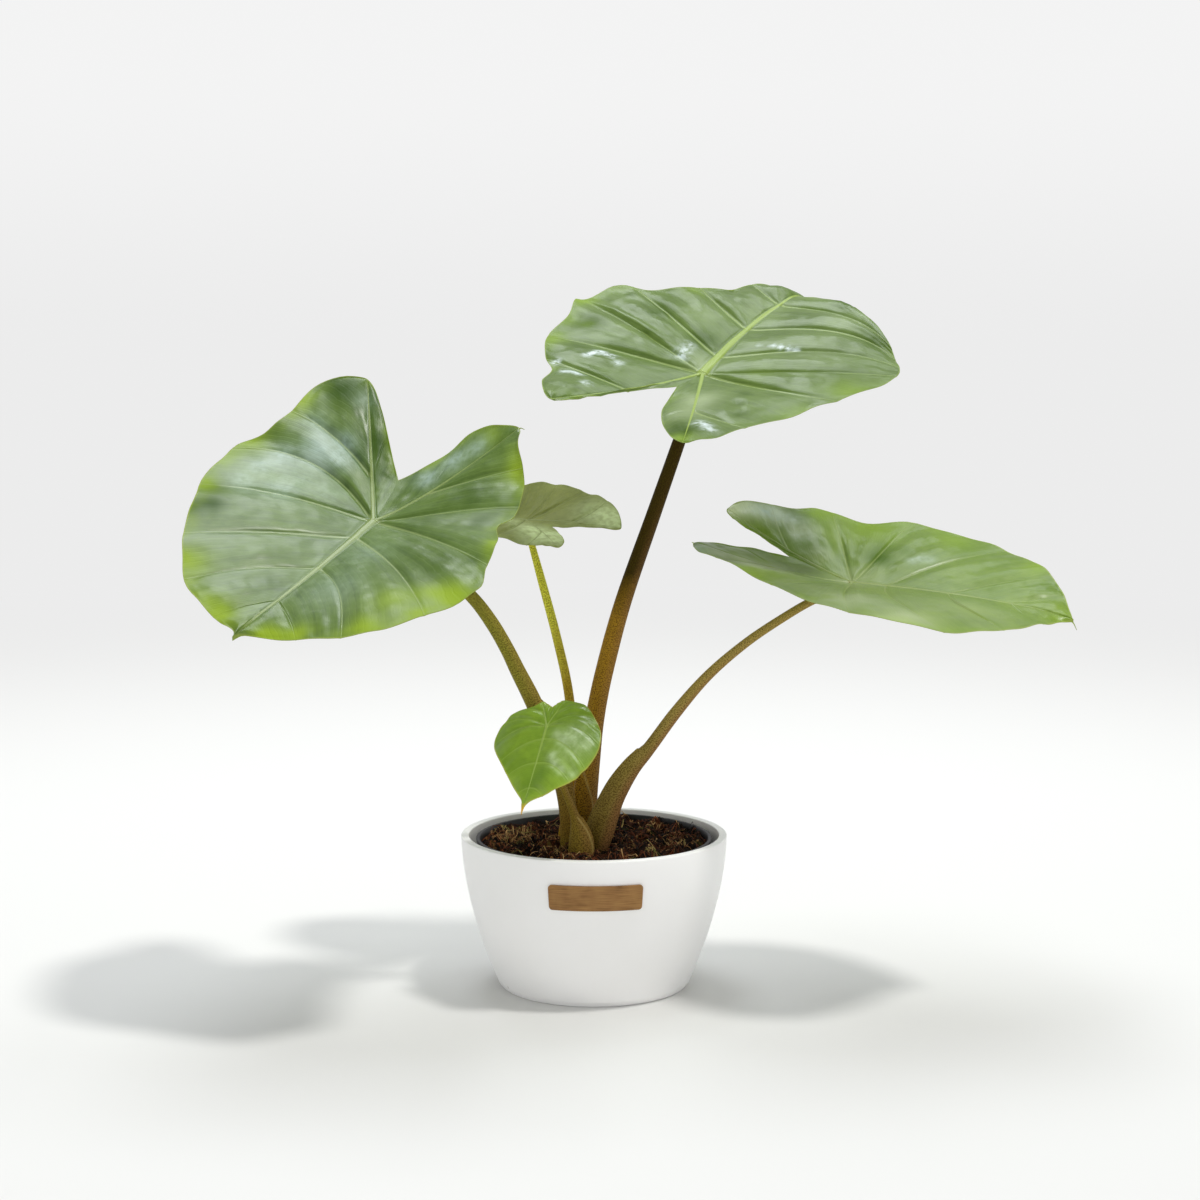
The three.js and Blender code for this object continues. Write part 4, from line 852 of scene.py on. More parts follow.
leafTop = dict(
    plainLeaf, seat=(71, 5, 405), forward=(0.576, 0.7, 0.423), face=(-0.015, -0.508, 0.861),
    length=150, halfWidth=120, lobeLength=80, crease=12, foldLeft=0.115, foldRight=0.196,
    roll=0.068, droop=0.02, lobeLift=0.128, tipCurl=0.02, quilt=3.2, wave=2.0, wavePhase=2.2,
    midBow=6,
    leftEnds=(3.09, 2.23, 1.32, 0.13, -1.01, -1.7), rightEnds=(1.71, 1.44, 1.04, 0.53, -0.56, -1.95),
    leftBow=(0.02, 0, 0, 0, 0, 0.02), rightBow=(-0.13, -0.145, -0.1, 0, 0.05, 0.04),
    veinShow=(0.8, 1, 1, 1, 1, 0.9),
    blisters=[
        [-48, -59, 4, -1.1], [-36, -50, 4, -0.8], [-22, -46, 5, -0.7], [52, 92, 2.6, 1.1],
        [36, 64, 2.4, 0.9], [15, 55, 3.2, 0.8], [44, 60, 4, 0.7], [40, 82, 2.2, 0.5],
    ],
    patches=[
        [28, 116, 9, 0.7], [0, 92, 6, 0.3], [-28, 98, 9, 0.6], [-4, 108, 8, 0.5], [-106, -50, 9, 0.8],
        [132, -4, 8, 0.6], [82, 60, 10, 0.4], [12, -100, 14, 0.6], [8, -40, 14, 0.2],
    ],
    shades=[
        [33, 24, 11, 0.5], [2, 92, 10, 0.85], [-30, 76, 9, 0.4], [24, -92, 14, 0.4], [56, 66, 16, 0.3],
        [127, -30, 4.5, 1.0], [122, -39, 4.5, 1.0], [-96, -48, 13, 0.9], [-84, -36, 9, 0.4],
        # the shades from [-48, -59] to [44, 60] sit on the blisters: painted shade in their dents and on
        # their puckers
        [-48, -59, 4, 0.6], [-36, -50, 4, 0.5], [-22, -46, 5, 0.5], [52, 92, 3, 0.7], [36, 64, 3, 0.6],
        [15, 55, 4, 0.6], [44, 60, 5, 0.5], [60, -60, 12, 0.25], [-10, 60, 8, 0.3],
        [-50, 88, 8, 0.5], [80, -84, 14, 0.4], [-30, 58, 12, 0.15], [34, 14, 12, 0.2],
    ],
    paintedSheens=[
        [-38, 65, 3, 1.0], [-33, 63.5, 3, 1.0], [-28, 62, 3, 1.0], [-28.5, 57, 3, 1.0], [-29, 52, 3, 1.0],
        [-33, 44, 3.2, 0.8], [-55, 78, 3, 0.9], [-64, 64, 3.5, 1.0], [-63, 58, 3, 0.9], [-63, 53, 3, 0.9],
        [-72, 42, 3, 0.9], [6, 22, 4.5, 0.8], [13, 23, 4.5, 0.7], [21, 24, 3.5, 0.5], [48, -42, 2.3, 1.0],
        [48, -36, 2.3, 1.0], [47.5, -30, 2.2, 0.9], [47, -24, 1.8, 0.8], [46, -15, 1.5, 0.6],
        [-76, -46, 4, 0.8], [-80, -53, 4, 0.9], [-85, -60, 4.5, 0.8],
    ],
    paintedSoftSheens=[
        [-38, -22, 12, 0.65], [-56, -28, 10, 0.35], [-70, -26, 9, 0.3], [-62, -44, 8, 0.15], [8, 6, 9, 0.4],
        [50, -60, 18, 0.15], [96, -50, 14, 0.15], [96, 12, 16, 0.15], [60, 36, 12, 0.1],
    ],
    paintedSheenCut=(0.4, 0.54, 0.2),
    paintedSoftSheenTone="#aab98f", paintedSheenTone="#dbe8e8",
    leftEdge=[
        [4, 150, 4], [3.5, 136, 22], [3, 115, 39], [2.6, 97, 45], [2, 80, 69], [1.5, 64, 88],
        [1.2, 61, 104], [1, 56, 113], [0.6, 39, 117], [0, 27, 121], [-0.5, 4, 111], [-1, -28, 104],
        [-1.6, -52, 89], [-2, -65, 74], [-2.5, -88, 65], [-3, -107, 44], [-3.5, -84, 31],
        [-4.3, -54, 21], [-5, -26, 3],
    ],
    rightEdge=[
        [4, 150, 4], [3.5, 134, -22], [3, 120, -45], [2.5, 104, -68], [2, 88, -86], [1.5, 71, -102],
        [1, 56, -114], [0.5, 42, -119], [0, 26, -114], [-0.5, 2, -102], [-1, -14, -89],
        [-1.6, -48, -80], [-2, -68, -73], [-2.5, -93, -69], [-3, -110, -57], [-3.5, -97, -37],
        [-4.2, -66, -12], [-5, -26, 3],
    ],
    rib=3.6, costa=1.3, vein=1.0, groove=1.25, streak=0.5, crumple=0.3,
    streaky=0.45, deep="#38510f",
    gloss=0.6, glossBlur=0.27, veinMix=0.6, ribMix=0.85,
    dark="#536b28", mid="#657d38", margin="#7f9a38", marginWide=14, marginAmount=0.4,
    veinTone="#8fa358", ribTone="#94ab4c", edgeTone="#8a9e4c", under="#879b62",
    stem=dict(
        path=[
            [-9, 10, 80], [-8.1, 11, 93], [-7.4, 10, 121], [-4.7, 8, 145], [2.6, 6, 188.5],
            [7.1, 5, 209.5], [18.4, 5, 252], [39.4, 6, 313], [55.1, 8, 358], [65, 9, 387],
        ],
        girth=[
            [80, 8.6], [93, 9], [121, 9.6], [148, 8.4], [170, 6.8], [188, 6.2], [230, 5.8],
            [272, 5.3], [313, 4.8], [358, 4.3], [405, 3.8],
        ],
        # the turn from orange-brown to dark olive between 0.24 and 0.285 m is partly the skin's own and
        # partly painted shadow of the top blade over the upper stem
        sheathTop=152, opensTo=(-1, -0.5, 0), low="#ae8427", high="#3f3408", speck="#33230a",
        turnsAt=(0.24, 0.285), ruddy=0.35,
        seams=[[-1, 1, [84, 55], [120, 42], [125, 36], [141.5, -7], [152, -40]]],
    ),
)

leafRight = dict(
    plainLeaf, seat=(168, -15, 270), forward=(0.914, -0.386, -0.129), face=(0.011, -0.293, 0.956),
    length=143, halfWidth=70, lobeLength=100, crease=10, foldLeft=0.244, foldRight=0.297,
    roll=0.048, droop=0.02, lobeLift=0.2, tipCurl=0.004, quilt=1.6, wave=1.6, wavePhase=0.9,
    midBow=8, leftEnds=(3.3, 2.67, 1.48, 0, -1, -2.19), rightEnds=(3.2, 2.24, 1.33, 0.07, -1, -2),
    leftBow=(0.04, 0.02, 0.05, 0, 0, 0.03), rightBow=(0.06, 0.08, 0.1, 0.05, 0.03, 0.03),
    veinShow=(0.15, 0.8, 1, 1, 1, 0.8), plainTip=True,
    patches=[
        [-8, 64, 18, 0.7], [46, 76, 14, 0.45], [104, 52, 10, 0.3], [-48, 66, 10, 0.6], [-70, -34, 9, 0.5],
        [-56, -20, 8, 0.5],
    ],
    shades=[
        [84, 28, 20, 0.2], [8, 32, 9, 1.0], [8, 46, 7, 0.45], [20, 46, 6, 0.4], [-58, 34, 6, 0.4],
        [60, 60, 14, 0.25], [-40, 20, 8, 0.25],
    ],
    paintedSheens=[
        [-72, 44, 9, 0.6], [-78, 44, 7, 0.5], [-60, 50, 8, 0.5], [-86, 38, 8, 0.5], [-46, 32, 9, 0.35],
        [28, 36, 4, 0.6], [33, 40, 4, 0.5], [39, 43, 4, 0.4], [-86, -54, 8, 0.55],
    ],
    paintedSoftSheens=[
        [-98, 30, 9, 0.9], [-88, 38, 10, 0.9], [-72, 46, 10, 0.5], [-50, 36, 9, 0.4], [-30, 18, 10, 0.2],
        [20, -64, 20, 0.24], [60, -84, 18, 0.28], [0, 2, 18, 0.2], [80, -20, 26, 0.12],
        [-78, -50, 12, 0.35], [-60, -38, 12, 0.4], [-44, -26, 10, 0.3],
    ],
    paintedSoftSheenTone="#d8e2b8", paintedSheenTone="#b3c6b4",
    leftEdge=[
        [4, 143, 11], [3.6, 138, 21], [3, 127, 40], [2.5, 113, 55], [2, 98, 67], [1.5, 82, 77],
        [1, 62, 84], [0.5, 38, 87], [0, 14, 84], [-0.5, -14, 72], [-1, -40, 75], [-1.6, -58, 68],
        [-2, -70, 59], [-2.5, -88, 46], [-3, -99, 29], [-3.4, -92, 22], [-4.2, -68, 16.5],
        [-5, -46, 8],
    ],
    rightEdge=[
        [4, 143, 11], [3.6, 134, 1], [3, 127, -20], [2.5, 120, -44], [2, 109, -68], [1.5, 94, -87],
        [1, 70, -95], [0.5, 44, -94], [0, 22, -84], [-0.5, -2, -76], [-1, -34, -62],
        [-1.6, -60, -60], [-2.3, -80, -60], [-2.8, -90, -55], [-3, -93, -45], [-3.5, -88, -20],
        [-4.2, -70, 0], [-5, -46, 8],
    ],
    rib=1.5, costa=1.0, vein=0.7, groove=0.6, streak=0.4, crumple=0.26, streaky=0.3, deep="#4c6a1c",
    threads=[
        (1, 4, [[0, 0, 0], [2.2, 0, -1.6], [4.4, 0, -6]]),
        (-1, -3, [[0, 0, 0], [-2.4, 0, 0.4], [-3.6, 0, 1]]),
    ],
    gloss=0.72, glossBlur=0.28, veinMix=0.45, ribMix=0.5,
    dark="#627e27", mid="#789137", margin="#82a02c", marginWide=12, marginAmount=0.45,
    veinTone="#94a45c", ribTone="#97a65c", edgeTone="#95a54c", under="#93a368",
    stem=dict(
        path=[
            [-1, -10, 80], [-0.6, -12.5, 90], [4, -15, 105], [12, -17.5, 126.5], [17.4, -18.5, 137],
            [25.5, -19, 149], [35, -20, 160], [53.8, -20, 185.5], [74.8, -19, 209.6],
            [99.8, -18, 231], [123.6, -17, 247], [139.2, -15, 256], [155, -13, 263],
        ],
        girth=[
            [80, 8.4], [93, 9.2], [112, 8.8], [126, 7.5], [137, 6.8], [149, 5.6], [158, 4.6], [162, 4.3],
            [185, 3.95], [209, 3.3], [231, 2.9], [256, 2.65], [270, 2.5],
        ],
        # the dark low tone near the soil is partly the skin's own brown and partly painted shade of the rim
        # and soil
        sheathTop=158, opensTo=(-0.8, 0.62, 0.3), low="#6c571d", high="#b39c52", speck="#43320f",
        turnsAt=(0.1, 0.22), ruddy=0.7,
        seams=[[-1, 0.15, [100, 6], [138, 6], [150, 0], [156, -40], [160, -75]]],
    ),
)

leafYoung = dict(
    plainLeaf, seat=(-30, -58, 182), forward=(-0.222, -0.615, -0.757), face=(-0.425, -0.637, 0.643),
    length=60, halfWidth=40, lobeLength=20, crease=5, foldLeft=0.097, foldRight=0.098,
    roll=0.12, droop=0.043, lobeLift=-0.054, tipCurl=0.002, quilt=0.9, wave=0.8, wavePhase=0,
    leftBow=(0.14,) * 6, rightBow=(0.12,) * 6, bladeSlot="young_blade", stemSlot="pale_stem",
    paintedSheens=[
        [10, 16, 5, 0.6], [6, 9, 4, 0.4], [23, 11, 3.2, 0.7], [28, 14, 3.2, 0.7], [33, 19, 3.2, 0.6],
        [36, 27, 3.5, 0.5], [15, 35, 4.5, 0.5], [9, 25, 8, 0.55], [20, 24, 12, 0.35],
    ],
    shades=[[34, 6, 7, 0.6], [44, -2, 8, 0.5], [30, -12, 7, 0.3]],
    paintedSheenTone="#c0d4a4", paintedSheenCut=(0.32, 0.66, 0.5), tipTone="#d9a92c",
    leftEdge=[
        [4, 63, -3], [3.7, 57, -1.5], [3.3, 54, 2], [3, 51, 10], [2.5, 47, 19], [2, 42, 27],
        [1, 33, 36], [0.5, 25, 40], [0, 16, 42], [-0.5, 6, 40], [-1, -4, 34], [-2, -14, 25],
        [-2.5, -17, 16], [-3, -19.5, 8], [-3.8, -18.5, 4], [-5, -15, 0],
    ],
    rightEdge=[
        [4, 63, -3], [3.7, 57, -4], [3.3, 53, -5], [3, 49, -8.5], [2.5, 44, -13], [2, 36, -19],
        [1, 26, -26.5], [0.5, 19, -32], [0, 12, -36.5], [-0.5, 4, -36], [-1, -3, -33],
        [-2, -12, -24], [-2.5, -16, -15], [-3, -19.5, -8.5], [-3.8, -18, -5], [-5, -15, 0],
    ],
    rib=1.0, costa=0.6, vein=0.8, groove=0.35, streak=0.2, crumple=0.12,
    streaky=0.2, deep="#55761f",
    gloss=0.75, glossBlur=0.22, veinMix=0.5, ribMix=0.7,
    dark="#6b8a28", mid="#87a533", margin="#93b03a", marginWide=6, marginAmount=0.3,
    veinTone="#8fa84c", ribTone="#97ae54", edgeTone="#a9ac48", under="#8ba552",
    stem=dict(
        path=[
            [-9, -28, 80], [-8.8, -31, 92], [-9.4, -32.5, 106], [-12.6, -34.5, 120], [-18, -37, 134],
            [-21.8, -41, 144], [-25, -47, 157], [-27.8, -53, 169],
        ],
        girth=[[80, 6.6], [92, 7.8], [103, 7.2], [112, 5], [119, 3.2], [134, 2.2], [182, 1.7]],
        sheathTop=117, opensTo=(0.8, 0.9, 0), low="#87702a", high="#b59e42", speck="#483710",
        turnsAt=(0.11, 0.27), ruddy=0.3, seams=[[1, 1, [86, 80], [100, 74], [111, 62], [119, 30]]],
    ),
)


def leafFrame(leaf):
    # forward runs along the midrib, face is the upper side, across is their cross product
    forward = unit(leaf["forward"])
    face = np.asarray(leaf["face"], float)
    face = unit(face - forward * (face @ forward))
    return forward, np.cross(face, forward), face, np.asarray(leaf["seat"], float)


def midBowAt(leaf, share):
    # how far across the midrib bows at a share of its length
    return leaf["midBow"] * np.sin(np.pi * np.clip(share, 0, 1))


def bladeForm(leaf, u, v):
    # broad form over the blade's own plane: a soft V fold along the midrib, edges rolled
    # down with the cube of the way out, a front that droops, a tip that curls down and
    # raised lobes
    ahead, behind = np.maximum(u, 0), np.maximum(-u, 0)
    aside = v - midBowAt(leaf, u / leaf["length"])
    fold = np.where(aside > 0, leaf["foldLeft"], leaf["foldRight"])
    folded = fold * (np.hypot(aside, leaf["crease"]) - leaf["crease"])
    rolled = leaf["roll"] * leaf["halfWidth"] * (np.abs(v) / leaf["halfWidth"]) ** 3
    drooped = leaf["droop"] * leaf["length"] * (ahead / leaf["length"]) ** 2
    curlFrom = 0.78 * leaf["length"]
    curled = leaf["tipCurl"] * np.maximum(u - curlFrom, 0) ** 2
    raised = leaf["lobeLift"] * leaf["lobeLength"] * (behind / leaf["lobeLength"]) ** 1.6
    return folded - rolled - drooped - curled + raised


def bladeRelief(leaf, side, station, place, s):
    # the blade is puffed up between one side vein and the next, and its edge waves; beside
    # the notch, and in a plain tip from the second vein on, two stations make one puff
    besideNotch = station < lobeStation
    wide = besideNotch | (leaf["plainTip"] & (station > veinStations[1]))
    between = np.abs(np.sin(np.pi * np.where(wide, (station - lobeStation + 1) / 2 - 0.5, station))) ** 0.8
    narrow = np.where(besideNotch, 0.35, 1)
    puffed = leaf["quilt"] * narrow * between * np.sin(np.pi * np.minimum(s * 1.08, 1)) ** 0.8
    fromEnds = np.minimum(tipStation - place, place - notchStation)
    eased = np.minimum(fromEnds / 1.5, 1) ** 2 * easeStep(0, 0.3, np.abs(station - lobeStation))
    waved = np.sin(2.3 * place + leaf["wavePhase"] + side) + 0.5 * np.sin(5.1 * place + side * 2)
    return puffed + leaf["wave"] * narrow * eased * s ** 3 * waved


def bladePlan(leaf, side, station, s):
    # place in the blade's plane: a line runs from its root on the midrib or on the lobe's
    # main vein to the edge and bows on its way; also its length and its place on the edge
    half = "left" if side > 0 else "right"
    edge = leaf[half + "Edge"]
    stops = [-tipStation, *(-n for n in veinStations), -lobeStation, -notchStation]
    place = np.interp(-station, stops, [tipStation, *leaf[half + "Ends"], lobeStation, notchStation])
    rim = hermite(edge, place)
    tip = np.asarray(edge[0][1:], float)
    share = hermite(veinRoots, np.maximum(station, 0))[..., 0]
    lobe = hermite(edge, np.full(1, float(lobeStation)))[0]
    lobeShare = np.interp(np.abs(station - lobeStation), [0, 1, 2], [1, leaf["lobeRoot"], 0])
    ahead = np.stack([tip[0] * share, tip[1] * share ** 2 + midBowAt(leaf, share)], -1)
    root = np.where((station >= 0)[..., None], ahead, 0.0)
    root = np.where((station <= -1)[..., None], lobe * lobeShare[..., None], root)
    plan = root + s[..., None] * (rim - root)
    span = np.linalg.norm(rim - root, axis=-1)
    bow = np.interp(-station, stops, [0, *leaf[half + "Bow"], 0, 0]) * span * 4 * s * (1 - s)
    return plan - np.stack([bow, bow * 0], -1), span, place


# Steps of a blade's grid: close together at each vein, at the rib and at the edge
nearVein = [0, 0.006, 0.014, 0.024, 0.037, 0.055, 0.08, 0.115, 0.16, 0.22, 0.29, 0.36, 0.43, 0.5]
nearRib = [0, 0.006, 0.012, 0.019, 0.027, 0.036, 0.047, 0.06, 0.075, 0.093]
cell = np.array(nearVein + [1 - x for x in nearVein[-2:0:-1]])
cells = [station - cell for station in range(tipStation, notchStation, -1)]
stationSteps = np.concatenate([*cells, [notchStation]])
ringSteps = np.concatenate([nearRib, np.linspace(0.115, 0.93, 38), [0.95, 0.965, 0.978, 0.988, 0.995, 1]])


def bladeGrid(leaf):
    # both halves as one index grid: [half, station, ring], with the shared lines given one
    # index: the tip, the midrib, the point over the stem, each lobe's main vein and its
    # tip, and the line from the stem to the notch
    k, s = np.meshgrid(stationSteps, ringSteps, indexing="ij")
    index = np.arange(2 * k.size).reshape(2, *k.shape)
    steps = stationSteps
    here = {name: int(np.argmin(np.abs(steps - name))) for name in (tipStation, 0, lobeStation, notchStation)}
    index[:, here[tipStation], :] = index[0, here[tipStation], 0]
    ahead = slice(0, here[0] + 1)
    index[1, ahead, 0] = index[0, ahead, 0]
    stemTop = index[0, here[0], 0]
    index[:, (steps <= 0) & (steps >= -1), 0] = stemTop
    index[:, here[notchStation], 0] = stemTop
    for half in (0, 1):
        inner = np.arange(here[lobeStation] + 1, here[notchStation])
        index[half, inner, 0] = index[half, 2 * here[lobeStation] - inner, 0]
        index[half, here[lobeStation], :] = index[half, here[lobeStation], 0]
    index[1, here[notchStation], :] = index[0, here[notchStation], :]
    return k, s, index


def lineGap(plan, line):
    # sideways distance from each grid point to a vein's line at the same step
    along = unit(np.gradient(line, axis=0))
    off = plan - line[None]
    return np.abs(off[..., 0] * along[None, :, 1] - off[..., 1] * along[None, :, 0])


def bladeSurface(leaf, side, k, s):
    # height of the upper face and thickness of the blade at each grid point, with how far
    # each point lies from ribs, veins and the edge
    plan, span, place = bladePlan(leaf, side, k, s)
    u, v = plan[..., 0], plan[..., 1]
    gaps = []
    for n, show in zip(veinStations, leaf["veinShow"]):
        line = bladePlan(leaf, side, np.full_like(ringSteps, n), ringSteps)[0]
        gaps.append(np.where(np.abs(k - n) < 0.95, lineGap(plan, line) / show, 99))
    veinGap = np.minimum.reduce(gaps)
    veinHalf = leaf["vein"] * (1 - 0.62 * s)
    edge = leaf["leftEdge"] if side > 0 else leaf["rightEdge"]
    tip = np.asarray(edge[0][1:], float)
    way = np.clip(u / tip[0], 0, 1)
    aside = v - tip[1] * way ** 2 - midBowAt(leaf, way)
    midGap = np.hypot(aside, np.maximum(-u, 0) + np.maximum(u - tip[0], 0))
    midHalf = leaf["rib"] * (1 - 0.9 * way ** 0.7)
    lobe = hermite(edge, np.full(1, float(lobeStation)))[0]
    far = np.linalg.norm(lobe)
    down = np.clip((u * lobe[0] + v * lobe[1]) / far ** 2, 0, 1)
    costaGap = np.hypot(u - lobe[0] * down, v - lobe[1] * down)
    costaHalf = leaf["costa"] * (1 - 0.85 * down)
    rib = np.minimum(midGap / midHalf, costaGap / costaHalf)
    vein = veinGap / veinHalf
    size = np.where(midGap / midHalf < costaGap / costaHalf, midHalf, costaHalf)
    away = easeStep(0.9, 2.6, rib)
    depth = leaf["groove"] * (1 - 0.7 * s)
    for half, station, extra, end in leaf["creases"]:
        if half == side:
            depth = depth + extra * easeStep(0.55, 0.1, np.abs(k - station)) * easeStep(end, 0.25 * end, s)
    trough = -depth * np.exp(-((veinGap / (2.1 * leaf["vein"])) ** 2)) * away
    thread = 0.42 * leaf["groove"] * (1 - 0.5 * s) * np.exp(-((vein / 0.75) ** 2)) * away
    crown = 0.28 * size * np.clip(1 - rib ** 2, 0, 1) ** 0.7
    flank = -0.24 * size * np.exp(-(((rib - 1.35) / 0.42) ** 2))
    places = np.stack([u, v], -1)
    between = np.abs(np.sin(np.pi * k)) * easeStep(0, 0.12, s) * easeStep(1.02, 0.8, s)
    crumple = leaf["crumple"] * (softNoise(places, 17, 3) + 0.3 * softNoise(places, 7, 4)) * between
    # streaks that run out beside the veins, two or three to a station
    flow = np.stack([k, s * 0.28], -1)
    streaks = leaf["streak"] * softNoise(flow, 0.42, 8 + side)
    streaks = streaks * easeStep(0.12, 0.5, s) * easeStep(0, 0.16, between)
    frill = 0.22 * leaf["wave"] * s ** 5 * np.sin(9.5 * place + 2.4 * side)
    frill = frill * easeStep(0, 0.5, np.abs(k - lobeStation))
    ends = easeStep(0, 0.5, np.minimum(tipStation - k, k - notchStation))
    height = bladeForm(leaf, u, v) + bladeRelief(leaf, side, k, place, s) + trough + thread + crown + flank
    height = height + crumple + (frill + streaks) * ends
    for along, across, wide, tall in leaf["blisters"]:
        height = height + tall * np.exp(-(((u - along) ** 2 + (v - across) ** 2) / wide ** 2))
    spots = {}
    for key, rows in spotRows.items():
        field = np.zeros_like(u)
        for along, across, wide, amount in leaf[rows]:
            field += amount * np.exp(-(((u - along) ** 2 + (v - across) ** 2) / wide ** 2))
        spots[key] = np.clip(field, 0, 1)
    rimGap = (1 - s) * span
    thickness = 0.32 + 0.38 * easeStep(0, 8, rimGap)
    thickness = thickness + 1.15 * size * np.exp(-((rib / 0.95) ** 2))
    thickness = thickness + 0.75 * veinHalf * np.exp(-((vein / 1.2) ** 2))
    marks = dict(rib=rib, vein=vein / (1 - 0.45 * s), rimGap=rimGap, **spots)
    return u, v, height, thickness, marks


def bladeMesh(leaf):
    # the upper skin is the blade's plane raised by its height, the under skin the same less
    # the thickness, and a band round the edge joins the two
    forward, across, face, seat = leafFrame(leaf)
    k, s, index = bladeGrid(leaf)
    halves = [bladeSurface(leaf, side, k, s) for side in (1, -1)]
    u, v, height, thickness = (np.stack(field) for field in list(zip(*halves))[:4])
    plane = seat + u[..., None] * forward + v[..., None] * across
    upper = plane + height[..., None] * face
    lower = plane + (height - thickness)[..., None] * face
    count = index.size
    flat = index.reshape(-1)
    points = np.concatenate([upper.reshape(-1, 3), lower.reshape(-1, 3)])
    grid = np.arange(count).reshape(index.shape)
    corners = []
    for half in (0, 1):
        cells = gridTriangles(grid[half])
        cells = cells if half == 0 else cells[:, ::-1]
        corners += [cells, cells[:, ::-1] + count]
        rim = np.stack([grid[half][:, -1], grid[half][:, -1] + count], 1)
        band = gridTriangles(rim)
        corners.append(band[:, ::-1] if half == 0 else band)
    corners = np.concatenate(corners)
    shared = np.concatenate([flat, flat + count])[corners]
    kept = (shared[:, 0] != shared[:, 1]) & (shared[:, 1] != shared[:, 2]) & (shared[:, 2] != shared[:, 0])
    corners, shared = corners[kept], shared[kept]
    used, compact = np.unique(shared, return_inverse=True)
    triangles = compact.reshape(-1, 3)
    points = points[used]
    under = (corners >= count).any(1).astype(int)
    if insideOut(points, triangles):
        triangles, corners = triangles[:, ::-1], corners[:, ::-1]
    pattern = np.stack([np.broadcast_to(k, index.shape), np.broadcast_to(s, index.shape)], -1).reshape(-1, 2)
    cornerUv = pattern[corners % count]
    pick = used % count
    fields = {key: np.stack([half[4][key] for half in halves]).reshape(-1)[pick] for key in halves[0][4]}
    return points, triangles, under, cornerUv, fields


def threadPiece(leaf, side, station, route):
    # a dried drip tip: a fine tapering thread that starts just inside the blade's point
    forward, across, face, seat = leafFrame(leaf)
    edge = leaf["leftEdge"] if side > 0 else leaf["rightEdge"]
    u, v = hermite(edge, np.full(1, float(station)))[0] * 0.985
    start = seat + u * forward + v * across + (bladeForm(leaf, u, v) - 0.3) * face
    rows = np.concatenate([np.linspace(0, 1, len(route))[:, None], np.asarray(route, float)], 1)
    centres = start + hermite(rows, np.linspace(0, 1, 12))
    return tubePiece(centres, np.linspace(0.55, 0.16, 12), 8)


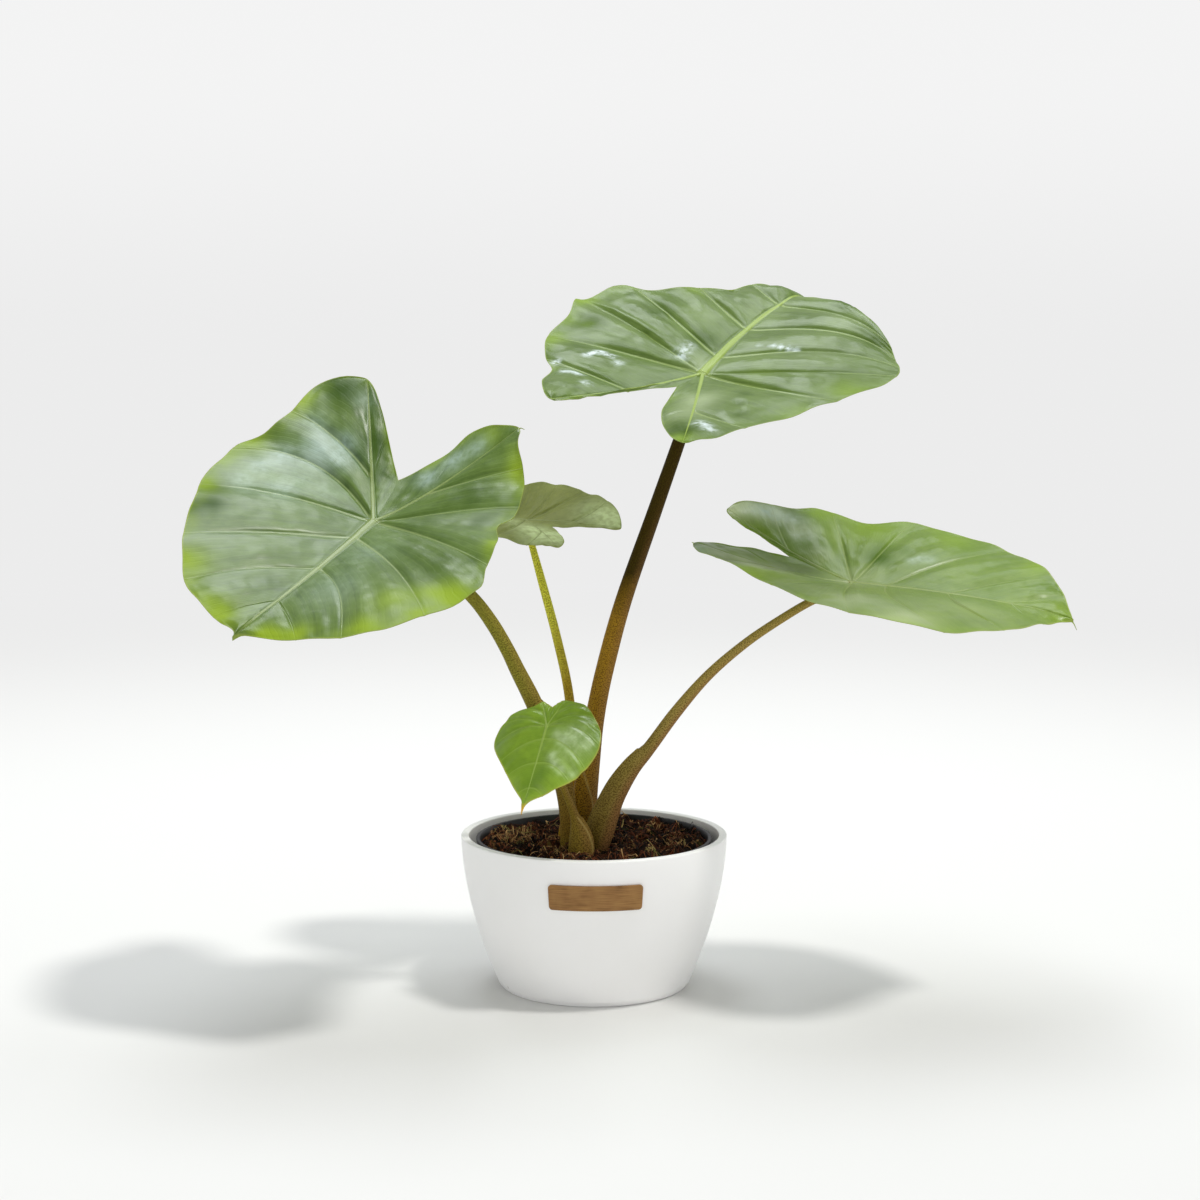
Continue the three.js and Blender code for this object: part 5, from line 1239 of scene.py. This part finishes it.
def bladeMaterial(leaf, name, upper):
    # living leaf: a waxy cuticle over green tissue. The upper side has a satin sheen, paler
    # ribs and veins, and yellow-green near the margin, partly its own and partly painted light
    # shining through the thin blade, with painted sheen, glints and shade in placed spots; the
    # underside is paler, matt
    side = "upper" if upper else "under"
    material, tree, shader = newMaterial(f"Leaf lamina, waxy cuticle, {name} {side} side")
    where = addNode(tree, "ShaderNodeTexCoord").outputs["Object"]
    pattern = addNode(tree, "ShaderNodeUVMap", uv_map="surface").outputs["UV"]
    station = addNode(tree, "ShaderNodeSeparateXYZ", {"Vector": pattern}).outputs["X"]
    # the placed spots are on the upper skin only
    marks = dict.fromkeys(spotRows, 0.0)
    for key in ("rib", "vein", "rimGap", *(spotRows if upper else ())):
        marks[key] = addNode(tree, "ShaderNodeAttribute", attribute_name=key).outputs["Fac"]
    # clouds of tone about 35 mm wide, and a mottle of 4 mm
    cloud = addNode(tree, "ShaderNodeTexNoise", {"Vector": where, "Scale": 28.0, "Detail": 3.0})
    mottle = addNode(tree, "ShaderNodeTexNoise", {"Vector": where, "Scale": 240.0, "Detail": 3.0})
    both = addNode(tree, "ShaderNodeMix", {"Factor": 0.28, "A": cloud, "B": mottle})
    colour = addNode(tree, "ShaderNodeValToRGB", {"Fac": both}, stops=[
        (0.34, leaf["dark"] if upper else leaf["under"]), (0.66, leaf["mid"] if upper else leaf["under"]),
    ])
    # fine cross veins, bent by noise: the sine of the station times so many turns
    crossVeins = 11
    bent = addNode(tree, "ShaderNodeTexNoise", {"Vector": where, "Scale": 60.0, "Detail": 2.0})
    shifted = addNode(tree, "ShaderNodeMath", {0: bent, 1: 0.12, 2: station}, operation="MULTIPLY_ADD")
    turned = addNode(tree, "ShaderNodeMath", {0: shifted, 1: 2 * math.pi * crossVeins}, operation="MULTIPLY")
    wave = addNode(tree, "ShaderNodeMath", {0: turned}, operation="SINE")
    line = addNode(tree, "ShaderNodeMapRange", {
        "Value": wave, "From Min": 0.55, "From Max": 1.0,
    }, interpolation_type="SMOOTHSTEP")
    faint = addNode(tree, "ShaderNodeMath", {0: line, 1: 0.05}, operation="MULTIPLY")
    # darker streaks that run out beside the veins, seven to a station
    stretched = addNode(tree, "ShaderNodeMapping", {"Vector": pattern, "Scale": (7.0, 1.3, 1.0)})
    streak = addNode(tree, "ShaderNodeTexNoise", {
        "Vector": stretched, "Scale": 1.0, "Detail": 4.0, "Roughness": 0.65,
    })
    streaky = addNode(tree, "ShaderNodeMapRange", {
        "Value": streak, "From Min": 0.5, "From Max": 0.7, "To Max": leaf["streaky"] if upper else 0.12,
    })
    # yellow-green in the placed spots and here and there towards the margin: partly the blade's
    # own paler green, partly painted light shining through the thin blade
    nearRim = addNode(tree, "ShaderNodeMapRange", {
        "Value": marks["rimGap"], "From Min": 0.0, "From Max": float(leaf["marginWide"]),
        "To Min": 1.0, "To Max": 0.0,
    }, interpolation_type="SMOOTHSTEP")
    patchy = addNode(tree, "ShaderNodeMapRange", {
        "Value": cloud, "From Min": 0.42, "From Max": 0.62, "To Max": leaf["marginAmount"],
    })
    noisy = addNode(tree, "ShaderNodeMath", {0: nearRim, 1: patchy}, operation="MULTIPLY")
    young = addNode(tree, "ShaderNodeMath", {0: noisy, 1: marks["freshAndLitThrough"]}, operation="ADD", use_clamp=True)
    # painted sheen and glints: a pale silvery tone laid on the placed spots, broken up by the mottle
    starts, fills, least = leaf["paintedSheenCut"]
    broken = addNode(tree, "ShaderNodeMapRange", {
        "Value": mottle, "From Min": starts, "From Max": fills, "To Min": least, "To Max": 1.0,
    })
    waxy = addNode(tree, "ShaderNodeMath", {0: marks["paintedSheen"], 1: broken}, operation="MULTIPLY")
    veinMask = addNode(tree, "ShaderNodeMapRange", {
        "Value": marks["vein"], "From Min": 0.5, "From Max": 1.5, "To Min": leaf["veinMix"], "To Max": 0.0,
    }, interpolation_type="SMOOTHSTEP")
    ribMask = addNode(tree, "ShaderNodeMapRange", {
        "Value": marks["rib"], "From Min": 0.75, "From Max": 1.25, "To Min": leaf["ribMix"], "To Max": 0.0,
    }, interpolation_type="SMOOTHSTEP")
    rimMask = addNode(tree, "ShaderNodeMapRange", {
        "Value": marks["rimGap"], "From Min": 0.35, "From Max": 0.9, "To Min": 0.8, "To Max": 0.0,
    })
    # the layers of colour, each laid over the one before by its share. The placed spots among
    # them lay deep green with painted shade, yellow-green with painted light shining through,
    # painted soft sheen, and painted sheen with glints
    layers = [
        (faint, "veinTone"), (streaky, "deep"), (marks["shade"], "deep"), (young, "margin"),
        (marks["paintedSoftSheen"], "paintedSoftSheenTone"), (waxy, "paintedSheenTone"), (veinMask, "veinTone"), (ribMask, "ribTone"),
        (rimMask, "edgeTone"),
    ]
    if leaf["tipTone"]:
        ripe = addNode(tree, "ShaderNodeMapRange", {"Value": station, "From Min": 3.55, "From Max": 3.85})
        layers.append((ripe, "tipTone"))
    for share, tone in layers:
        colour = addNode(tree, "ShaderNodeMix", {
            "Factor": share, "A": colour, "B": leaf[tone],
        }, data_type="RGBA")
    # skin cells and cross veins as relief: cells about 0.9 mm, drawn larger than real ones
    cells = addNode(tree, "ShaderNodeTexNoise", {"Vector": where, "Scale": 1100.0, "Detail": 2.0})
    skin = addNode(tree, "ShaderNodeBump", {"Height": cells, "Strength": 0.34, "Distance": 0.0002})
    crossed = addNode(tree, "ShaderNodeBump", {
        "Height": line, "Normal": skin, "Strength": 0.3, "Distance": 0.0003,
    }, invert=True)
    rough = addNode(tree, "ShaderNodeMapRange", {
        "Value": mottle, "To Min": 0.42 if upper else 0.55, "To Max": 0.56 if upper else 0.7,
    })
    # the yellow-green and the deep green have less wax, so they mirror less
    gloss = leaf["gloss"] if upper else 0.0
    bare = addNode(tree, "ShaderNodeMath", {0: marks["shade"], 1: young}, operation="ADD", use_clamp=True)
    wet = addNode(tree, "ShaderNodeMapRange", {"Value": bare, "To Min": gloss, "To Max": 0.06 * gloss})
    feed(shader, {
        "Base Color": colour, "Normal": crossed, "Roughness": rough,
        "Specular IOR Level": 0.07 if upper else 0.12, "Coat Weight": wet,
        "Coat Roughness": leaf["glossBlur"], "Coat IOR": 1.45,
    })
    return material


# Stems

def centreLine(leaf, steps):
    # centripetal Catmull-Rom through the path and the point under the blade, then points at
    # even steps along it: each span is a cubic whose end slopes weigh the neighbouring
    # spans by the root of their lengths
    *_, face, seat = leafFrame(leaf)
    knots = np.concatenate([np.asarray(leaf["stem"]["path"], float), [seat - 1.3 * face]])
    knots = np.concatenate([[2 * knots[0] - knots[1]], knots, [2 * knots[-1] - knots[-2]]])
    root = np.sqrt(np.linalg.norm(np.diff(knots, axis=0), axis=1))[:, None]
    step = np.diff(knots, axis=0) / root
    slope = step[:-1] - (knots[2:] - knots[:-2]) / (root[:-1] + root[1:]) + step[1:]
    t = np.linspace(0, 1, 60)[:, None]
    spans = []
    for i in range(len(knots) - 3):
        a, b, m0, m1 = knots[i + 1], knots[i + 2], slope[i] * root[i + 1], slope[i + 1] * root[i + 1]
        spans.append((2 * t ** 3 - 3 * t ** 2 + 1) * a + (t ** 3 - 2 * t ** 2 + t) * m0
                     + (3 * t ** 2 - 2 * t ** 3) * b + (t ** 3 - t ** 2) * m1)
    line = np.concatenate([spans[0]] + [span[1:] for span in spans[1:]])
    length = np.concatenate([[0], np.cumsum(np.linalg.norm(np.diff(line, axis=0), axis=1))])
    even = np.linspace(0, length[-1], steps)
    return np.stack([np.interp(even, length, line[:, i]) for i in range(3)], 1), even


# ruddyLitSideTone is the pinkish red of the lit side, partly painted highlight
stemSet = dict(sides=72, stepsPerMm=0.9, ruddyLitSideTone="#a0714a", seamTone="#b39a5c", seamRise=0.6)


def stemMesh(leaf):
    # a tapering tube along its centre line; below the end of its sheath two ridges stand
    # beside a groove, and fine ribs run all along it
    stem, sides = leaf["stem"], stemSet["sides"]
    *_, face, seat = leafFrame(leaf)
    steps = int(np.linalg.norm(seat - stem["path"][0]) * stemSet["stepsPerMm"])
    centres, along = centreLine(leaf, steps)
    tangent = unit(np.gradient(centres, axis=0))
    opening = np.asarray(stem["opensTo"], float)
    inner = unit(opening - (tangent @ opening)[:, None] * tangent)
    lateral = np.cross(tangent, inner)
    radius = hermite(stem["girth"], centres[:, 2])[:, 0]
    foot = stem["path"][0][2]
    below = (stem["sheathTop"] - centres[:, 2]) / (stem["sheathTop"] - foot)
    sheath = 0.3 * (1 - 0.75 * np.clip(below, 0, 1)) * easeStep(-0.004, 0.014, below)
    turn = np.linspace(0, 2 * np.pi, sides, endpoint=False)
    fromGroove = np.minimum(turn, 2 * np.pi - turn)
    ridge = np.exp(-(((fromGroove - 0.62) / 0.4) ** 2)) - 0.9 * np.exp(-((fromGroove / 0.36) ** 2))
    striped = 0.008 * np.sin(11 * turn + 0.6) + 0.006 * np.sin(17 * turn)
    reach = radius[:, None] * (1 + sheath[:, None] * ridge[None] + striped[None])
    # a seam is where one sheath edge overlaps: its raised side, how pale its edge is, then
    # rows of [height, degrees from the front towards +X]. The skin steps up there
    pale = np.zeros_like(reach)
    for raised, paleness, *seam in stem.get("seams", []):
        rows = np.asarray(seam, float)
        bearing = np.radians(np.interp(centres[:, 2], rows[:, 0], rows[:, 1]))
        toward = np.stack([np.sin(bearing), -np.cos(bearing), 0 * bearing], 1)
        seamTurn = np.arctan2((toward * lateral).sum(1), (toward * inner).sum(1))
        gap = ((turn[None] - seamTurn[:, None] + np.pi) % (2 * np.pi) - np.pi) * radius[:, None] * raised
        inside = easeStep(rows[0, 0] - 2, rows[0, 0] + 2, centres[:, 2])
        inside = inside * easeStep(rows[-1, 0] + 1, rows[-1, 0] - 1, centres[:, 2])
        raisedBy = stemSet["seamRise"] * inside[:, None]
        reach = reach + raisedBy * easeStep(-0.35, 0.2, gap) * easeStep(6, 0.5, gap)
        pale = np.maximum(pale, paleness * inside[:, None] * np.exp(-((gap / 0.42) ** 2)))
    rings = centres[:, None] + inner[:, None] * (reach * np.cos(turn))[..., None]
    rings = rings + lateral[:, None] * (reach * np.sin(turn))[..., None]
    # the foot is cut level and the head on the blade's own plane
    rings[0, :, 2] = foot
    head = seat - 0.9 * face
    rings[-1] += tangent[-1] * (((head - rings[-1]) @ face) / (tangent[-1] @ face))[:, None]
    points, triangles = closedTube(rings, [rings[0].mean(0), rings[-1].mean(0)])
    # pattern: distance round the stem and along it, both in centimetres; a cell that closes
    # the ring gets one whole turn more at its far side
    wrap = 2 * np.pi * radius.mean() / 10
    around = np.broadcast_to(radius.mean() * turn / 10, (steps, sides)).reshape(-1)
    skin = np.stack([around, np.repeat(along / 10, sides)], 1)
    spread = np.concatenate([skin, [[0, 0], [0, along[-1] / 10]]])
    cornerUv = spread[triangles]
    crossing = np.ptp(cornerUv[..., 0], axis=1) > around[-1] / 2
    cornerUv[crossing, :, 0] += np.where(cornerUv[crossing, :, 0] < wrap / 2, wrap, 0)
    # the skin is tinted pinkish red on the side that faces +X, towards the key light: partly
    # its own tinge, partly painted highlight; least so near the blade
    outwards = inner[:, None] * np.cos(turn)[None, :, None] + lateral[:, None] * np.sin(turn)[None, :, None]
    ruddy = stem["ruddy"] * easeStep(-0.2, 0.7, outwards[..., 0])
    ruddy = ruddy * (1 - 0.85 * easeStep(0.45, 0.8, along / along[-1]))[:, None]
    fields = {"pale": pale, "ruddy": ruddy}
    return points, triangles, cornerUv, {
        key: np.concatenate([field.reshape(-1), [0, 0]]) for key, field in fields.items()
    }


def stemMaterial(leaf, name):
    # living petiole, smooth and waxy: brown-green skin with dark flecks drawn out along it,
    # browner near the soil, and tinted pinkish red on the lit side, partly as painted highlight
    stem = leaf["stem"]
    material, tree, shader = newMaterial(f"Petiole skin, waxy, flecked, {name}")
    where = addNode(tree, "ShaderNodeTexCoord").outputs["Object"]
    pattern = addNode(tree, "ShaderNodeUVMap", uv_map="surface").outputs["UV"]
    height = addNode(tree, "ShaderNodeSeparateXYZ", {"Vector": where}).outputs["Z"]
    # the skin's tone climbs from soil to blade, broken up by 15 mm clouds
    cloud = addNode(tree, "ShaderNodeTexNoise", {"Vector": where, "Scale": 65.0, "Detail": 3.0})
    climb = addNode(tree, "ShaderNodeMapRange", {
        "Value": height, "From Min": stem["turnsAt"][0], "From Max": stem["turnsAt"][1],
    })
    mixed = addNode(tree, "ShaderNodeMath", {0: cloud, 1: 0.5, 2: climb}, operation="MULTIPLY_ADD")
    colour = addNode(tree, "ShaderNodeValToRGB", {"Fac": mixed}, stops=[
        (0.2, stem["low"]), (1.0, stem["high"]),
    ])
    # flecks about 0.7 mm wide and 0.9 mm long
    drawn = addNode(tree, "ShaderNodeMapping", {"Vector": pattern, "Scale": (14.5, 11.0, 1.0)})
    fleck = addNode(tree, "ShaderNodeTexNoise", {
        "Vector": drawn, "Scale": 1.0, "Detail": 4.0, "Roughness": 0.75,
    })
    mask = addNode(tree, "ShaderNodeMapRange", {
        "Value": fleck, "From Min": 0.5, "From Max": 0.54, "To Max": 0.82,
    })
    ruddy, pale = (addNode(tree, "ShaderNodeAttribute", attribute_name=key).outputs["Fac"]
                   for key in ("ruddy", "pale"))
    for share, tone in ((ruddy, stemSet["ruddyLitSideTone"]), (mask, stem["speck"]), (pale, stemSet["seamTone"])):
        colour = addNode(tree, "ShaderNodeMix", {"Factor": share, "A": colour, "B": tone}, data_type="RGBA")
    # fibres 0.3 mm apart and 12 mm long
    lines = addNode(tree, "ShaderNodeMapping", {"Vector": pattern, "Scale": (30.0, 0.8, 1.0)})
    fibres = addNode(tree, "ShaderNodeTexNoise", {"Vector": lines, "Scale": 1.0, "Detail": 2.0})
    bump = addNode(tree, "ShaderNodeBump", {"Height": fibres, "Strength": 0.35, "Distance": 0.0003})
    feed(shader, {"Base Color": colour, "Normal": bump, "Roughness": 0.46, "Specular IOR Level": 0.04})
    return material


leaves = dict(Left=leafLeft, Rear=leafRear, Top=leafTop, Right=leafRight, Young=leafYoung)
for name, leaf in leaves.items():
    node = name.lower()
    points, triangles, under, cornerUv, fields = bladeMesh(leaf)
    threads = [threadPiece(leaf, *thread) for thread in leaf["threads"]]
    added = sum(len(thread[0]) for thread in threads)
    points, triangles = joinBodies([(points, triangles), *threads])
    # a thread takes the blade's own look just inside its margin, and its rib's tone
    more = len(triangles) - len(under)
    cornerUv = np.concatenate([cornerUv, np.full((more, 3, 2), 0.98)])
    under = np.concatenate([under, np.zeros(more, int)])
    fields = {key: np.concatenate([values, np.full(added, 0.2)]) for key, values in fields.items()}
    skins = [bladeMaterial(leaf, node, True), bladeMaterial(leaf, node, False)]
    makePiece(f"blade{name}", points, triangles, skins, f"blade_{node}", leaf["bladeSlot"],
              faceMaterial=under, cornerUv=cornerUv, fields=fields)
    points, triangles, cornerUv, fields = stemMesh(leaf)
    skins = [stemMaterial(leaf, node)]
    makePiece(f"stem{name}", points, triangles, skins, f"petiole_{node}", leaf["stemSlot"],
              cornerUv=cornerUv, fields=fields)

print("all pieces made")
